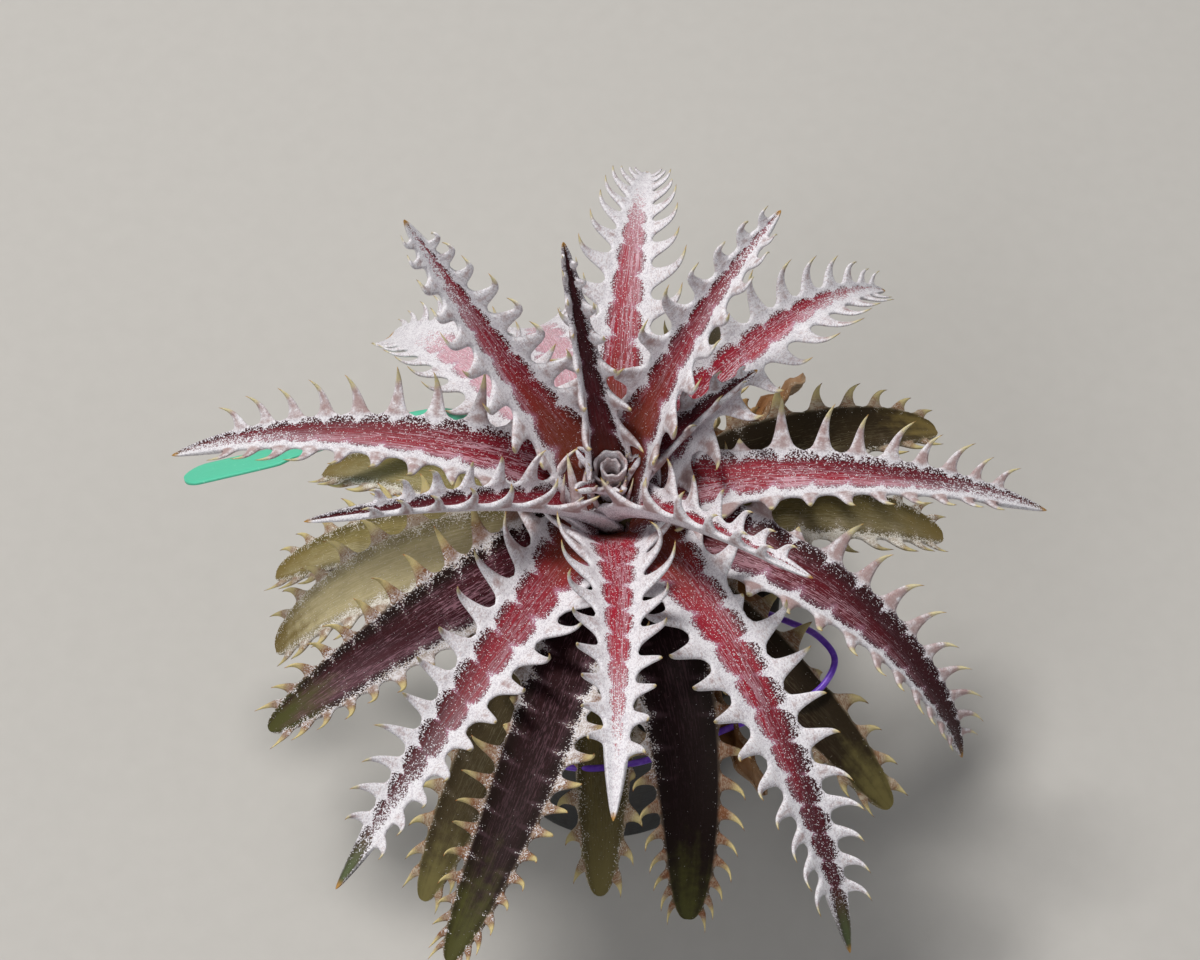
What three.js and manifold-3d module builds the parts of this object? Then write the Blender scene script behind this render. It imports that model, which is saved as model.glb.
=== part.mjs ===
// A dyckia in a nursery pot: a rosette of thick channelled leaves with hooked spines along
// both margins, on a short stem, with a blank label and a loop of coated wire.
// Millimetres, +Z up, origin at the middle of the pot's underside.

import * as THREE from 'three';
import { mergeVertices } from 'three/addons/utils/BufferGeometryUtils.js';
import Module from 'manifold-3d';

const wasm = await Module();
wasm.setup();

// ---- Driving dimensions -------------------------------------------------------------

const CLEARANCE = 0.35;         // gap between pieces that touch
const SLIVER = 0.02;            // detail that a cut may lose
const POT = {
  height: 58, rimRadius: 29, baseRadius: 21, wall: 1.4, floor: 2.2,
  lipHeight: 5, lipDepth: 1.5, lipSlope: 0.6, sides: 32,
};
const DRAIN = { count: 5, radius: 2, ring: 13.5, sides: 10 };
const SOIL = { top: 54, relief: 0.8, rings: 5, sides: 26 };
const CROWN = 92;               // height of the bud's heart above the ground
const STEM = {
  foot: 30, footRadius: 5, taperTop: 44, radius: 8.2, topRadius: 2.2,
  shoulder: CROWN - 17, top: CROWN - 3, sides: 20,
};

// How a leaf base hugs the stem: it leans towards upright, and starts inside the bark.
const SHEATH = { lean: 80, hold: 0.5, length: 6, depth: 1.5 };
const BLADE = {
  middle: 2.9, width: 12,       // thickness on the midline of a blade of this width
  margin: 0.9,                  // thickness at the edge
  neckLength: 20,               // length in which the base comes to its full width
  rollLength: 10,               // length in which the blade comes into its roll
  point: 0.45,                  // where the last ring lies, from the last bay to the tip
};
const SPINE = {
  height: 12, most: 9.5,        // from the bay's floor to the point
  first: 8, pitch: 7.6,
  stagger: 0.2, stray: 0.14,    // how far the two margins' bays part, and each one strays
  uneven: 0.2, tilt: 0.3,       // how much heights and leans differ
  root: 0.3, rootWidth: 0.17, rootHalf: 0.42, steps: 6,
  curls: [0.55, 1.3, 0], backward: -0.45, forward: 0.7,
};

// A row of values under their names.
function named(fields, row) {
  return Object.fromEntries(fields.map((field, i) => [field, row[i]]));
}

// One line a leaf, from the heart outwards: the bearing it grows to (0 is +X, 90 is +Y),
// its seat below the crown, its rise and how far the pitch falls by the tip, the turn of
// its heading, its length and width, how far each half folds up, and its roll, in
// millimetres and degrees.
const LEAF_FIELDS = ['name', 'bearing', 'seat', 'rise', 'fall', 'sway', 'length', 'width',
  'fold', 'roll', 'kind'];
const LEAVES = [
  ['leaf_01', 114, 3, 67, 5, -3, 46, 6, 60, 0, 'young'],
  ['leaf_02', 31, 6, 46, 34, 0, 31, 6, 60, 0, 'young'],
  ['leaf_03', 210, 9, 50, 40, -12, 58, 7, 60, 10, 'young'],
  ['leaf_04', 310, 7, 50, 40, 12, 48, 7, 60, -25, 'young'],
  ['leaf_05', 51, 3.5, 60, 36, -6, 54, 9, 44, 10, 'red'],
  ['leaf_06', 148, 6, 46, -8, -4, 59, 10, 28, -18, 'red'],
  ['leaf_07', 86, 6.5, 46, 94, -3, 75, 11, 24, 0, 'red'],
  ['leaf_08', 43, 9.5, 52, 102, -2, 70, 11, 24, 14, 'red'],
  ['leaf_09', 173, 7.5, 36, 70, 3, 76, 11, 22, -6, 'red'],
  ['leaf_10', 2, 8.5, 21, 56, 0, 74, 11, 22, 6, 'red'],
  ['leaf_11', 273, 11, 46, 54, -6, 70, 10, 32, 0, 'red'],
  ['leaf_12', 338, 14, 27, 104, -13, 79, 14, 20, 4, 'red'],
  ['leaf_13', 304.5, 10, 23, 86, -12, 88, 12, 22, 0, 'red'],
  ['leaf_14', 241, 10.5, 19, 38, -5, 79, 12, 22, 0, 'red'],
  ['leaf_15', 218, 15, 15, 30, -4, 63, 14, 20, -6, 'dark'],
  ['leaf_16', 131, 13, 27, 84, 0, 64, 12, 22, -8, 'dark'],
  ['leaf_17', 106, 17, 28, 112, 0, 66, 13, 22, 0, 'dark'],
  ['leaf_18', 258, 17, 16, 14, -9, 82, 13, 20, 0, 'dark'],
  ['leaf_19', 293, 20.5, 21, 96, -28, 68, 14, 20, 0, 'dark'],
  ['leaf_20', 25, 17.5, 18, 60, 0, 61, 13, 20, 6, 'old'],
  ['leaf_21', 190, 19.5, 14, 76, 0, 62, 14, 18, -6, 'old'],
  ['leaf_22', 66, 20, 16, 80, 0, 66, 13, 20, 0, 'old'],
  ['leaf_23', 176, 24, 10, 58, 0, 58, 13, 18, 0, 'old'],
  ['leaf_24', 152, 25.5, 6, 54, 0, 58, 13, 18, 0, 'old'],
  ['leaf_25', 10, 22, 11, 58, 0, 58, 13, 18, 6, 'old'],
  ['leaf_26', 318, 24, 9, 50, 0, 60, 13, 18, 0, 'old'],
  ['leaf_27', 242, 22.5, 8, 50, 0, 64, 12, 18, 0, 'old'],
  ['leaf_28', 96, 25, 8, 60, 0, 62, 13, 18, 0, 'old'],
  ['leaf_29', 268, 26, 4, 40, 0, 54, 12, 18, 0, 'old'],
  ['dry_leaf_01', 300, 28, 2, 14, 0, 44, 8, 50, 40, 'dry'],
  ['dry_leaf_02', 45, 26, 8, 10, 0, 42, 8, 50, -40, 'dry'],
  ['dry_leaf_03', 208, 28, 2, 40, 0, 22, 9, 40, 20, 'dry'],
  ['dry_leaf_04', 125, 28, 0, 40, 0, 20, 9, 40, 0, 'dry'],
  ['dry_leaf_05', 345, 28, 2, 40, 0, 22, 9, 40, 0, 'dry'],
].map((row, index) => ({ ...named(LEAF_FIELDS, row), seed: 100 * index }));

// For each kind of leaf: how large its spines are and how far apart, how much closer they
// stand at the tip, the part of the length that stays bare there, how evenly the blade
// tapers (less is blunter), how wide its base is against the blade, its thickness against
// a fresh leaf's, the flat strips across each face, and its finish.
const KIND_FIELDS = ['spines', 'space', 'crowd', 'bare', 'taper', 'neck', 'body', 'strips',
  'finish'];
const KINDS = Object.fromEntries([
  ['heart', 0, 1, 0.5, 0.1, 0.9, 0.9, 1, 2, 'red_leaf'],
  ['young', 0.7, 1, 0.5, 0.1, 0.9, 1.6, 1, 2, 'red_leaf'],
  ['red', 1, 1, 0.5, 0.1, 0.8, 1.45, 1, 4, 'red_leaf'],
  ['dark', 0.85, 1, 0.62, 0.05, 0.42, 1.2, 1, 4, 'dark_leaf'],
  ['old', 0.75, 1.15, 0.5, 0.08, 0.4, 1, 0.8, 4, 'old_leaf'],
  ['dry', 0.5, 1.3, 0.5, 0.1, 0.6, 0.55, 0.5, 2, 'dry_leaf'],
].map(([kind, ...row]) => [kind, named(KIND_FIELDS, row)]));

// The heart: small leaves, each [bearing, length, width, rise].
const HEART = [
  [20, 9, 3.6, 78], [160, 11, 4, 74], [285, 10, 4, 74], [80, 13, 4.4, 70], [230, 14, 4.6, 66],
];

// A blank label: a strip that stands in the substrate and arches out between the leaves.
// Its route is measured from the crown's centre.
const LABEL = {
  thickness: 0.8, neck: 4.6, head: 7.5, headLength: 21, shoulder: 3, tip: 0.14,
  roll: 24, stations: 16,
  route: [[-12, 15, -50], [-13, 16, -40], [-16, 19, -29], [-26, 23.5, -18], [-39, 23, -19.5],
    [-52.5, 22, -25.5], [-74.5, 20, -32]],
};

// A loop of coated wire around the front of the plant, with both ends in the substrate.
const WIRE = {
  diameter: 1.3, sides: 6, steps: 46,
  route: [[19, -4, -46], [20, -5, -38], [23, -8, -29], [29.5, -13.5, -23.5], [34, -17, -22],
    [36.5, -21.5, -21.5], [34.5, -26, -22], [30, -29, -23], [20.5, -32, -24.5],
    [12.5, -35, -25.5], [4.5, -38, -26], [-6.5, -38.5, -27], [-13, -35, -28],
    [-15, -28, -29.5], [-14, -20, -32], [-13, -15, -38], [-12.5, -14, -46]],
};

// ---- Small helpers ------------------------------------------------------------------

const radians = THREE.MathUtils.degToRad;
const mix = THREE.MathUtils.lerp;
const clamp = THREE.MathUtils.clamp;

// A repeatable number from 0 to 1 for each whole number n.
function hash(n) {
  const value = Math.sin(n * 12.9898) * 43758.5453;
  return value - Math.floor(value);
}

// Collects points and faces of one closed body.
class Shell {
  constructor() {
    this.points = [];
    this.faces = [];
  }

  point(p) {
    this.points.push(p);
    return this.points.length - 1;
  }

  triangle(a, b, c) {
    this.faces.push(a, b, c);
  }

  quad(a, b, c, d) {
    this.faces.push(a, b, c, a, c, d);
  }

  geometry() {
    const geometry = new THREE.BufferGeometry();
    geometry.setFromPoints(this.points);
    geometry.setIndex(this.faces);
    return geometry;
  }
}

// A closed mesh as a solid that can be cut.
function toSolid(geometry) {
  const bare = geometry.clone();
  bare.deleteAttribute('normal');
  bare.deleteAttribute('uv');
  const merged = mergeVertices(bare, 1e-4);
  return new wasm.Manifold(new wasm.Mesh({
    numProp: 3,
    vertProperties: new Float32Array(merged.attributes.position.array),
    triVerts: new Uint32Array(merged.index.array),
    tolerance: SLIVER,
  }));
}

function toGeometry(solid) {
  const mesh = solid.getMesh();
  const geometry = new THREE.BufferGeometry();
  geometry.setAttribute('position', new THREE.BufferAttribute(mesh.vertProperties, 3));
  geometry.setIndex(new THREE.BufferAttribute(mesh.triVerts, 1));
  return geometry;
}

function addMesh(parent, name, geometry, material) {
  const mesh = new THREE.Mesh(geometry, material);
  mesh.name = name;
  parent.add(mesh);
  return mesh;
}

// A turned body from [radius, height] pairs, about the Z axis.
function lathe(profile, sides) {
  const points = profile.map(([radius, height]) => new THREE.Vector2(radius, height));
  return new THREE.LatheGeometry(points, sides).rotateX(Math.PI / 2);
}

// ---- Stem ---------------------------------------------------------------------------

// Radius of the stem at a height: a cylinder that narrows above its shoulder.
function stemRadius(height) {
  const rise = clamp((height - STEM.shoulder) / (STEM.top - STEM.shoulder), 0, 1);
  return mix(STEM.radius, STEM.topRadius, rise);
}

function stemProfile(grow) {
  return [
    [0, STEM.foot - grow],
    [STEM.footRadius + grow, STEM.foot - grow],
    [STEM.radius + grow, STEM.taperTop],
    [STEM.radius + grow, STEM.shoulder],
    [STEM.topRadius + grow, STEM.top + grow],
    [0, STEM.top + grow],
  ];
}

// ---- Leaves -------------------------------------------------------------------------

// Walks along a leaf's midline and returns a frame for each length asked for: the point,
// the direction, the side and the upward normal. The pitch falls evenly towards the tip,
// and near the seat it leans towards upright, because the sheath hugs the stem.
function midline(leaf, lengths) {
  const step = 0.25;
  const bearing = radians(leaf.bearing);
  const height = CROWN - leaf.seat;
  const radius = stemRadius(height) - SHEATH.depth;
  const place = new THREE.Vector3(
    radius * Math.cos(bearing), radius * Math.sin(bearing), height);
  const frames = [];
  let walked = 0;
  for (const wanted of lengths) {
    while (walked < wanted - 1e-9) {
      const stride = Math.min(step, wanted - walked);
      place.addScaledVector(axes(leaf, walked + stride / 2).along, stride);
      walked += stride;
    }
    frames.push({ place: place.clone(), length: wanted, ...axes(leaf, wanted) });
  }
  return frames;
}

function axes(leaf, length) {
  const part = length / leaf.length;
  const hug = SHEATH.hold * Math.exp(-length / SHEATH.length);
  const pitch = radians(mix(leaf.rise - leaf.fall * part, SHEATH.lean, hug));
  const heading = radians(leaf.bearing + leaf.sway * part);
  const along = new THREE.Vector3(
    Math.cos(pitch) * Math.cos(heading), Math.cos(pitch) * Math.sin(heading),
    Math.sin(pitch));
  const side = new THREE.Vector3(-Math.sin(heading), Math.cos(heading), 0);
  side.applyAxisAngle(along, radians(leaf.roll) * (1 - Math.exp(-length / BLADE.rollLength)));
  const up = new THREE.Vector3().crossVectors(along, side);
  return { along, side, up };
}

// Half width and thickness of the blade at a length.
function bladeSize(leaf, length) {
  const part = length / leaf.length;
  const { taper, neck, body } = KINDS[leaf.kind];
  const slender = (1 - part) ** taper;
  const flare = mix(neck, 1, clamp(length / BLADE.neckLength, 0, 1));
  return {
    half: leaf.width / 2 * slender * flare,
    middle: Math.max(BLADE.margin,
      body * BLADE.middle * Math.sqrt(1 - part) * leaf.width / BLADE.width),
  };
}

// A point of the blade's skin. Across runs from -1 to 1; the section is an arc of the
// blade's width, each half bent through the fold, and depth goes down through the blade.
function skinPoint(leaf, frame, across, depth) {
  const { half, middle } = bladeSize(leaf, frame.length);
  const bend = radians(leaf.fold);
  const angle = bend * across;
  const thick = mix(Math.min(BLADE.margin, middle), middle, 1 - across * across) * depth;
  const sideways = half * Math.sin(angle) / bend + thick * Math.sin(angle);
  const upwards = half * (1 - Math.cos(angle)) / bend - thick * Math.cos(angle);
  return frame.place.clone()
    .addScaledVector(frame.side, sideways)
    .addScaledVector(frame.up, upwards);
}

// A number from -0.5 to 0.5 for a spine, or for the bay before it, on one side of a leaf.
function stray(leaf, index, sign, use) {
  return hash(leaf.seed + 3 * (2 * index + (sign > 0 ? 1 : 0)) + use) - 0.5;
}

// Lengths at which the bays between spines lie on one margin. The spines crowd towards
// the tip, and those of the two margins don't stand face to face.
function bays(leaf, sign) {
  const lengths = [];
  const { space, crowd, bare } = KINDS[leaf.kind];
  const last = leaf.length * (1 - bare);
  let length = SPINE.first;
  while (length <= last) {
    const pitch = space * SPINE.pitch * (1 - crowd * length / leaf.length);
    const shift = SPINE.stagger * sign + SPINE.stray * stray(leaf, lengths.length, sign, 0);
    lengths.push(length + pitch * shift);
    length += pitch;
  }
  return lengths;
}

// The corners of a spine that fills the margin's wall between two bays: a broad root that
// narrows at once, then a slender point that curls up. Low on the leaf it leans back, and
// near the tip it leans forward.
function spineCorners(leaf, place, corners, sign, curl) {
  const { index, start, end } = place;
  const centre = new THREE.Vector3();
  corners.forEach((corner) => centre.addScaledVector(corner, 1 / corners.length));
  const middle = midline(leaf, [(start + end) / 2])[0];
  const part = middle.length / leaf.length;
  const height = KINDS[leaf.kind].spines
    * Math.min(SPINE.most, SPINE.height * Math.sqrt(1 - part))
    * (1 + SPINE.uneven * stray(leaf, index, sign, 1));
  const lean = mix(SPINE.backward, SPINE.forward, part)
    + SPINE.tilt * stray(leaf, index, sign, 2);
  const bend = radians(leaf.fold);
  const outwards = (turn) => middle.side.clone().multiplyScalar(sign * Math.cos(turn))
    .addScaledVector(middle.up, Math.sin(turn));
  const reach = (share) => {
    const point = centre.clone();
    for (let i = 0; i < SPINE.steps; i += 1) {
      const turn = bend + curl * share * (i + 0.5) / SPINE.steps;
      point.addScaledVector(outwards(turn), height * share / SPINE.steps);
    }
    return point.addScaledVector(middle.along, lean * height * share * share);
  };
  const neck = reach(SPINE.root);
  const across = outwards(bend + curl * SPINE.root + Math.PI / 2)
    .multiplyScalar(SPINE.rootHalf);
  const along = middle.along.clone().multiplyScalar(SPINE.rootWidth * (end - start));
  const root = [[-1, 1], [1, 1], [1, -1], [-1, -1]].map(([u, v]) => (
    neck.clone().addScaledVector(along, u).addScaledVector(across, v)));
  return { root, point: reach(1) };
}

// Puts a spine's skin on the shell, from the wall's four corners to the point.
function addSpine(shell, edge, { root, point }, sign) {
  const ring = root.map((corner) => shell.point(corner));
  const end = shell.point(point);
  for (let i = 0; i < 4; i += 1) {
    const [a, b] = sign > 0 ? [i, (i + 1) % 4] : [(i + 1) % 4, i];
    shell.quad(edge[a], edge[b], ring[b], ring[a]);
    shell.triangle(ring[a], ring[b], end);
  }
}

// The first curl that keeps a spine out of the leaves that are there already, or null.
function clearSpine(leaf, place, corners, sign, spaces) {
  for (const curl of SPINE.curls) {
    const spine = spineCorners(leaf, place, corners, sign, curl);
    const trial = new Shell();
    const edge = corners.map((corner) => trial.point(corner));
    trial.quad(...(sign > 0 ? edge.toReversed() : edge));
    addSpine(trial, edge, spine, sign);
    const solid = toSolid(trial.geometry());
    if (spaces.every((space) => space.intersect(solid).isEmpty())) {
      return spine;
    }
  }
  return null;
}

// The whole leaf as one closed body: rings of skin points at the bays, a cap at the
// seat, spines between the bays and a pointed tip. Between the margins a ring runs from
// the one side's bay to the other's.
function leafGeometry(leaf, spaces = []) {
  const shell = new Shell();
  const { strips, spines } = KINDS[leaf.kind];
  const margins = [-1, 1].map((sign) => {
    const lengths = bays(leaf, sign);
    return [0, ...lengths, mix(lengths.at(-1), leaf.length, BLADE.point)];
  });
  const columns = Array.from({ length: strips + 1 }, (_, i) => {
    const lengths = margins[0].map((length, k) => mix(length, margins[1][k], i / strips));
    return midline(leaf, lengths);
  });
  const rings = margins[0].map((_, k) => {
    const row = (depth) => columns.map((frames, i) => (
      shell.point(skinPoint(leaf, frames[k], mix(-1, 1, i / strips), depth))));
    return { top: row(0), bottom: row(1) };
  });
  const point = shell.point(midline(leaf, [leaf.length])[0].place);
  for (let i = 0; i < strips; i += 1) {
    const first = rings[0];
    const last = rings.at(-1);
    shell.quad(first.top[i], first.top[i + 1], first.bottom[i + 1], first.bottom[i]);
    shell.triangle(last.top[i], point, last.top[i + 1]);
    shell.triangle(last.bottom[i + 1], point, last.bottom[i]);
  }
  shell.triangle(rings.at(-1).bottom[0], point, rings.at(-1).top[0]);
  shell.triangle(rings.at(-1).top[strips], point, rings.at(-1).bottom[strips]);
  for (let k = 0; k + 1 < rings.length; k += 1) {
    const here = rings[k];
    const next = rings[k + 1];
    for (let i = 0; i < strips; i += 1) {
      shell.quad(here.top[i + 1], here.top[i], next.top[i], next.top[i + 1]);
      shell.quad(here.bottom[i], here.bottom[i + 1], next.bottom[i + 1], next.bottom[i]);
    }
    for (const [side, sign] of [[0, -1], [strips, 1]]) {
      const edge = [here.top[side], next.top[side], next.bottom[side], here.bottom[side]];
      const bears = spines > 0 && k > 0 && k + 2 < rings.length;
      const corners = edge.map((index) => shell.points[index]);
      const lengths = margins[sign > 0 ? 1 : 0];
      const place = { index: k, start: lengths[k], end: lengths[k + 1] };
      const spine = bears ? clearSpine(leaf, place, corners, sign, spaces) : null;
      if (spine) {
        addSpine(shell, edge, spine, sign);
      } else {
        shell.quad(...(sign > 0 ? edge : edge.toReversed()));
      }
    }
  }
  return shell.geometry();
}

// The small leaves of the heart, which are joined into one bud.
function heartLeaves() {
  return HEART.map(([bearing, length, width, rise], index) => leafGeometry({
    bearing, length, width, rise, seat: 4, fall: 30, sway: 0, fold: 55, roll: 0,
    kind: 'heart', seed: index,
  }));
}

// ---- Clearances ---------------------------------------------------------------------

// A copy of a mesh with every point pushed out along its normal.
function grown(geometry, distance) {
  const copy = geometry.clone();
  copy.deleteAttribute('normal');
  copy.deleteAttribute('uv');
  const merged = mergeVertices(copy, 1e-4);
  merged.computeVertexNormals();
  const { position, normal } = merged.attributes;
  const point = new THREE.Vector3();
  const push = new THREE.Vector3();
  for (let i = 0; i < position.count; i += 1) {
    point.fromBufferAttribute(position, i);
    push.fromBufferAttribute(normal, i);
    point.addScaledVector(push, distance);
    position.setXYZ(i, point.x, point.y, point.z);
  }
  return merged;
}

// The room that a piece and its clearance take up.
function spaceAround(geometry) {
  return toSolid(grown(geometry, CLEARANCE));
}

function joined(solids) {
  return solids.reduce((whole, solid) => whole.add(solid));
}

// Cuts a solid back from its neighbours and keeps the largest piece that is left.
function trimmed(solid, neighbours) {
  let rest = solid;
  for (const neighbour of neighbours) {
    rest = rest.subtract(neighbour);
  }
  const pieces = rest.decompose().sort((a, b) => b.volume() - a.volume());
  return pieces[0];
}

// ---- Pot and substrate --------------------------------------------------------------

// Outer radius of the pot at a height, below its lip.
function potRadius(height) {
  return mix(POT.baseRadius, POT.rimRadius - POT.lipDepth, height / POT.height);
}

function potGeometry() {
  const { height, wall, floor, lipHeight, lipSlope, rimRadius } = POT;
  const lip = height - lipHeight;
  const shell = toSolid(lathe([
    [0, 0],
    [potRadius(0), 0],
    [potRadius(lip), lip],
    [rimRadius, lip + lipSlope],
    [rimRadius, height],
    [potRadius(height) - wall, height],
    [potRadius(floor) - wall, floor],
    [0, floor],
  ], POT.sides));
  let pot = shell;
  for (let i = 0; i < DRAIN.count; i += 1) {
    const angle = 2 * Math.PI * i / DRAIN.count;
    const drill = new THREE.CylinderGeometry(
      DRAIN.radius, DRAIN.radius, 4 * floor, DRAIN.sides).rotateX(Math.PI / 2);
    drill.translate(DRAIN.ring * Math.cos(angle), DRAIN.ring * Math.sin(angle), 0);
    pot = pot.subtract(toSolid(drill));
  }
  return toGeometry(pot);
}

// The substrate fills the pot to just below the rim. Its top is grains of pumice and
// grit, as a rough relief; the stem, the label and the wire stand in plain holes.
function substrateSolid(holes) {
  const { rings, sides, relief, top } = SOIL;
  const gap = POT.wall + CLEARANCE;
  const bottom = POT.floor + CLEARANCE;
  const shell = new Shell();
  const ring = (radius, height) => Array.from({ length: sides }, (_, i) => {
    const angle = 2 * Math.PI * i / sides;
    return shell.point(new THREE.Vector3(
      radius * Math.cos(angle), radius * Math.sin(angle), height(i)));
  });
  const join = (outer, inner) => {
    for (let i = 0; i < sides; i += 1) {
      const j = (i + 1) % sides;
      shell.quad(outer[i], outer[j], inner[j], inner[i]);
    }
  };
  const rim = potRadius(top) - gap;
  const circles = [ring(potRadius(bottom) - gap, () => bottom)];
  for (let k = rings; k > 0; k -= 1) {
    const grains = (i) => top + relief * (hash(k * sides + i) - 0.5) * (k < rings ? 1 : 0);
    circles.push(ring(rim * k / rings, grains));
  }
  for (let k = 0; k + 1 < circles.length; k += 1) {
    join(circles[k], circles[k + 1]);
  }
  const crown = shell.point(new THREE.Vector3(0, 0, top));
  const foot = shell.point(new THREE.Vector3(0, 0, bottom));
  for (let i = 0; i < sides; i += 1) {
    const j = (i + 1) % sides;
    shell.triangle(circles.at(-1)[i], circles.at(-1)[j], crown);
    shell.triangle(circles[0][j], circles[0][i], foot);
  }
  return trimmed(toSolid(shell.geometry()), holes);
}

// ---- Label and wire -----------------------------------------------------------------

function routeCurve(route) {
  return new THREE.CatmullRomCurve3(
    route.map(([x, y, z]) => new THREE.Vector3(x, y, CROWN + z)), false, 'centripetal');
}

// The label is a row of flat oblong sections along its route, wider at the head, which
// ends round.
function labelGeometry(grow = 0) {
  const curve = routeCurve(LABEL.route);
  const length = curve.getLength();
  const shell = new Shell();
  const rings = [];
  for (let k = 0; k <= LABEL.stations; k += 1) {
    const part = k / LABEL.stations;
    const point = curve.getPointAt(part);
    const along = curve.getTangentAt(part);
    const side = new THREE.Vector3().crossVectors(new THREE.Vector3(0, 0, 1), along)
      .normalize();
    side.applyAxisAngle(along, radians(LABEL.roll));
    const face = new THREE.Vector3().crossVectors(along, side);
    const fromEnd = length * (1 - part);
    const shoulder = clamp((LABEL.headLength - fromEnd) / LABEL.shoulder, 0, 1);
    const inside = Math.max(0, 1 - fromEnd / (LABEL.head / 2));
    const round = Math.max(LABEL.tip, Math.sqrt(1 - inside ** 2));
    const half = mix(LABEL.neck, LABEL.head, shoulder) / 2 * round + grow;
    const thick = LABEL.thickness / 2 + grow;
    rings.push([[1, 1], [-1, 1], [-1, -1], [1, -1]].map(([u, v]) => shell.point(
      point.clone().addScaledVector(side, u * half).addScaledVector(face, v * thick))));
  }
  shell.quad(...rings[0].toReversed());
  shell.quad(...rings.at(-1));
  for (let k = 0; k < LABEL.stations; k += 1) {
    for (let i = 0; i < 4; i += 1) {
      const j = (i + 1) % 4;
      shell.quad(rings[k][i], rings[k][j], rings[k + 1][j], rings[k + 1][i]);
    }
  }
  return shell.geometry();
}

function wireGeometry(grow = 0) {
  const radius = WIRE.diameter / 2 + grow;
  const section = new THREE.Shape(Array.from({ length: WIRE.sides }, (_, i) => {
    const angle = 2 * Math.PI * i / WIRE.sides;
    return new THREE.Vector2(radius * Math.cos(angle), radius * Math.sin(angle));
  }));
  return new THREE.ExtrudeGeometry(section, {
    steps: WIRE.steps, extrudePath: routeCurve(WIRE.route),
  });
}

// ---- Assembly -----------------------------------------------------------------------

function finish(color, roughness) {
  return new THREE.MeshStandardMaterial({ color, roughness, metalness: 0 });
}

const finishes = {
  red_leaf: finish(0x7a1f2c, 0.55),
  dark_leaf: finish(0x3a1216, 0.6),
  old_leaf: finish(0x7d7a35, 0.6),
  dry_leaf: finish(0x6e4a2c, 0.85),
  stem: finish(0x6b5a40, 0.85),
  pot: finish(0x17181a, 0.45),
  substrate: finish(0x6f6558, 0.95),
  label: finish(0x4fc9a8, 0.4),
  wire: finish(0x5b3f9e, 0.35),
};

const part = new THREE.Group();
const pot = potGeometry();
addMesh(part, 'pot', pot, finishes.pot);
addMesh(part, 'stem', lathe(stemProfile(0), STEM.sides), finishes.stem);
addMesh(part, 'label', labelGeometry(), finishes.label);
addMesh(part, 'tie_wire', wireGeometry(), finishes.wire);
const stemSpace = toSolid(lathe(stemProfile(CLEARANCE), STEM.sides));
const labelSpace = toSolid(labelGeometry(CLEARANCE));
const wireSpace = toSolid(wireGeometry(CLEARANCE));
addMesh(part, 'substrate', toGeometry(substrateSolid([stemSpace, labelSpace, wireSpace])),
  finishes.substrate);

// From the heart outwards, each leaf is cut back from the stem and from the leaves that
// were there before it.
const spaces = [stemSpace, labelSpace, wireSpace, spaceAround(pot)];
const heart = heartLeaves();
addMesh(part, 'bud', toGeometry(trimmed(joined(heart.map(toSolid)), spaces)),
  finishes.red_leaf);
spaces.push(...heart.map(spaceAround));
for (const leaf of LEAVES) {
  const whole = leafGeometry(leaf, spaces);
  addMesh(part, leaf.name, toGeometry(trimmed(toSolid(whole), spaces)),
    finishes[KINDS[leaf.kind].finish]);
  spaces.push(spaceAround(whole));
}

export default part;
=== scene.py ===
"""A dyckia in a nursery pot, dressed.

Every leaf is one surface on a grid: columns lie along the leaf and crowd at each spine,
rows run round the section, over the channel, out along the spines of one margin, under
the blade and back along the other margin. Lengths are in millimetres until a mesh is
made, and the finishes read attributes that each surface carries.
"""

import math
from types import SimpleNamespace as Measures

import bpy
import numpy as np
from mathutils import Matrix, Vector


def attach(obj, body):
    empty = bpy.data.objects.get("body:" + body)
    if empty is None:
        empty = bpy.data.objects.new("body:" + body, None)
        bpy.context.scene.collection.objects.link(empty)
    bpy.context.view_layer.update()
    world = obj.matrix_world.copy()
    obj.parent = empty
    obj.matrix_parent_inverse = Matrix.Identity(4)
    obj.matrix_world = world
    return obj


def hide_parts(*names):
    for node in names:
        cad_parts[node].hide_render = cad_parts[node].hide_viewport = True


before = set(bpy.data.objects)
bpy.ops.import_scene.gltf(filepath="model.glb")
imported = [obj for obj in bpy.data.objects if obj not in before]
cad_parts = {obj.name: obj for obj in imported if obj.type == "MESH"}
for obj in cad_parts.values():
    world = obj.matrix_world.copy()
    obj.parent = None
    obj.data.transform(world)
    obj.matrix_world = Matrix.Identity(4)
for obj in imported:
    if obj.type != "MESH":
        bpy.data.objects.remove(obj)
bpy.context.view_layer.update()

# ---- Measures of the plant, in millimetres and degrees --------------------------------

MM = 0.001
CROWN = 92.0
POT = Measures(height=58.0, rim=29.0, base=21.0, wall=1.4, floor=2.2, lip=5.0, step=1.5,
               slope=0.6, round=0.5, ribs=(44.0, 41.5), sides=24)
DRAIN = Measures(count=5, radius=2.0, ring=13.5)
SOIL = Measures(top=54.0, gap=0.35, grains=900, least=1.0, most=2.3, relief=0.9, rings=90,
                sides=240)
STEM = Measures(foot=30.0, foot_radius=5.0, taper_top=44.0, radius=8.2, top_radius=2.2,
                shoulder=CROWN - 17.0, top=CROWN - 3.0, scar_pitch=3.2, scar_depth=0.32,
                sides=96)
SHEATH = Measures(lean=80.0, hold=0.5, length=6.0, depth=1.5)
BLADE = Measures(middle=2.9, width=12.0, margin=0.9, neck_length=20.0, roll_length=10.0,
                 thin_tip=0.12)
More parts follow.
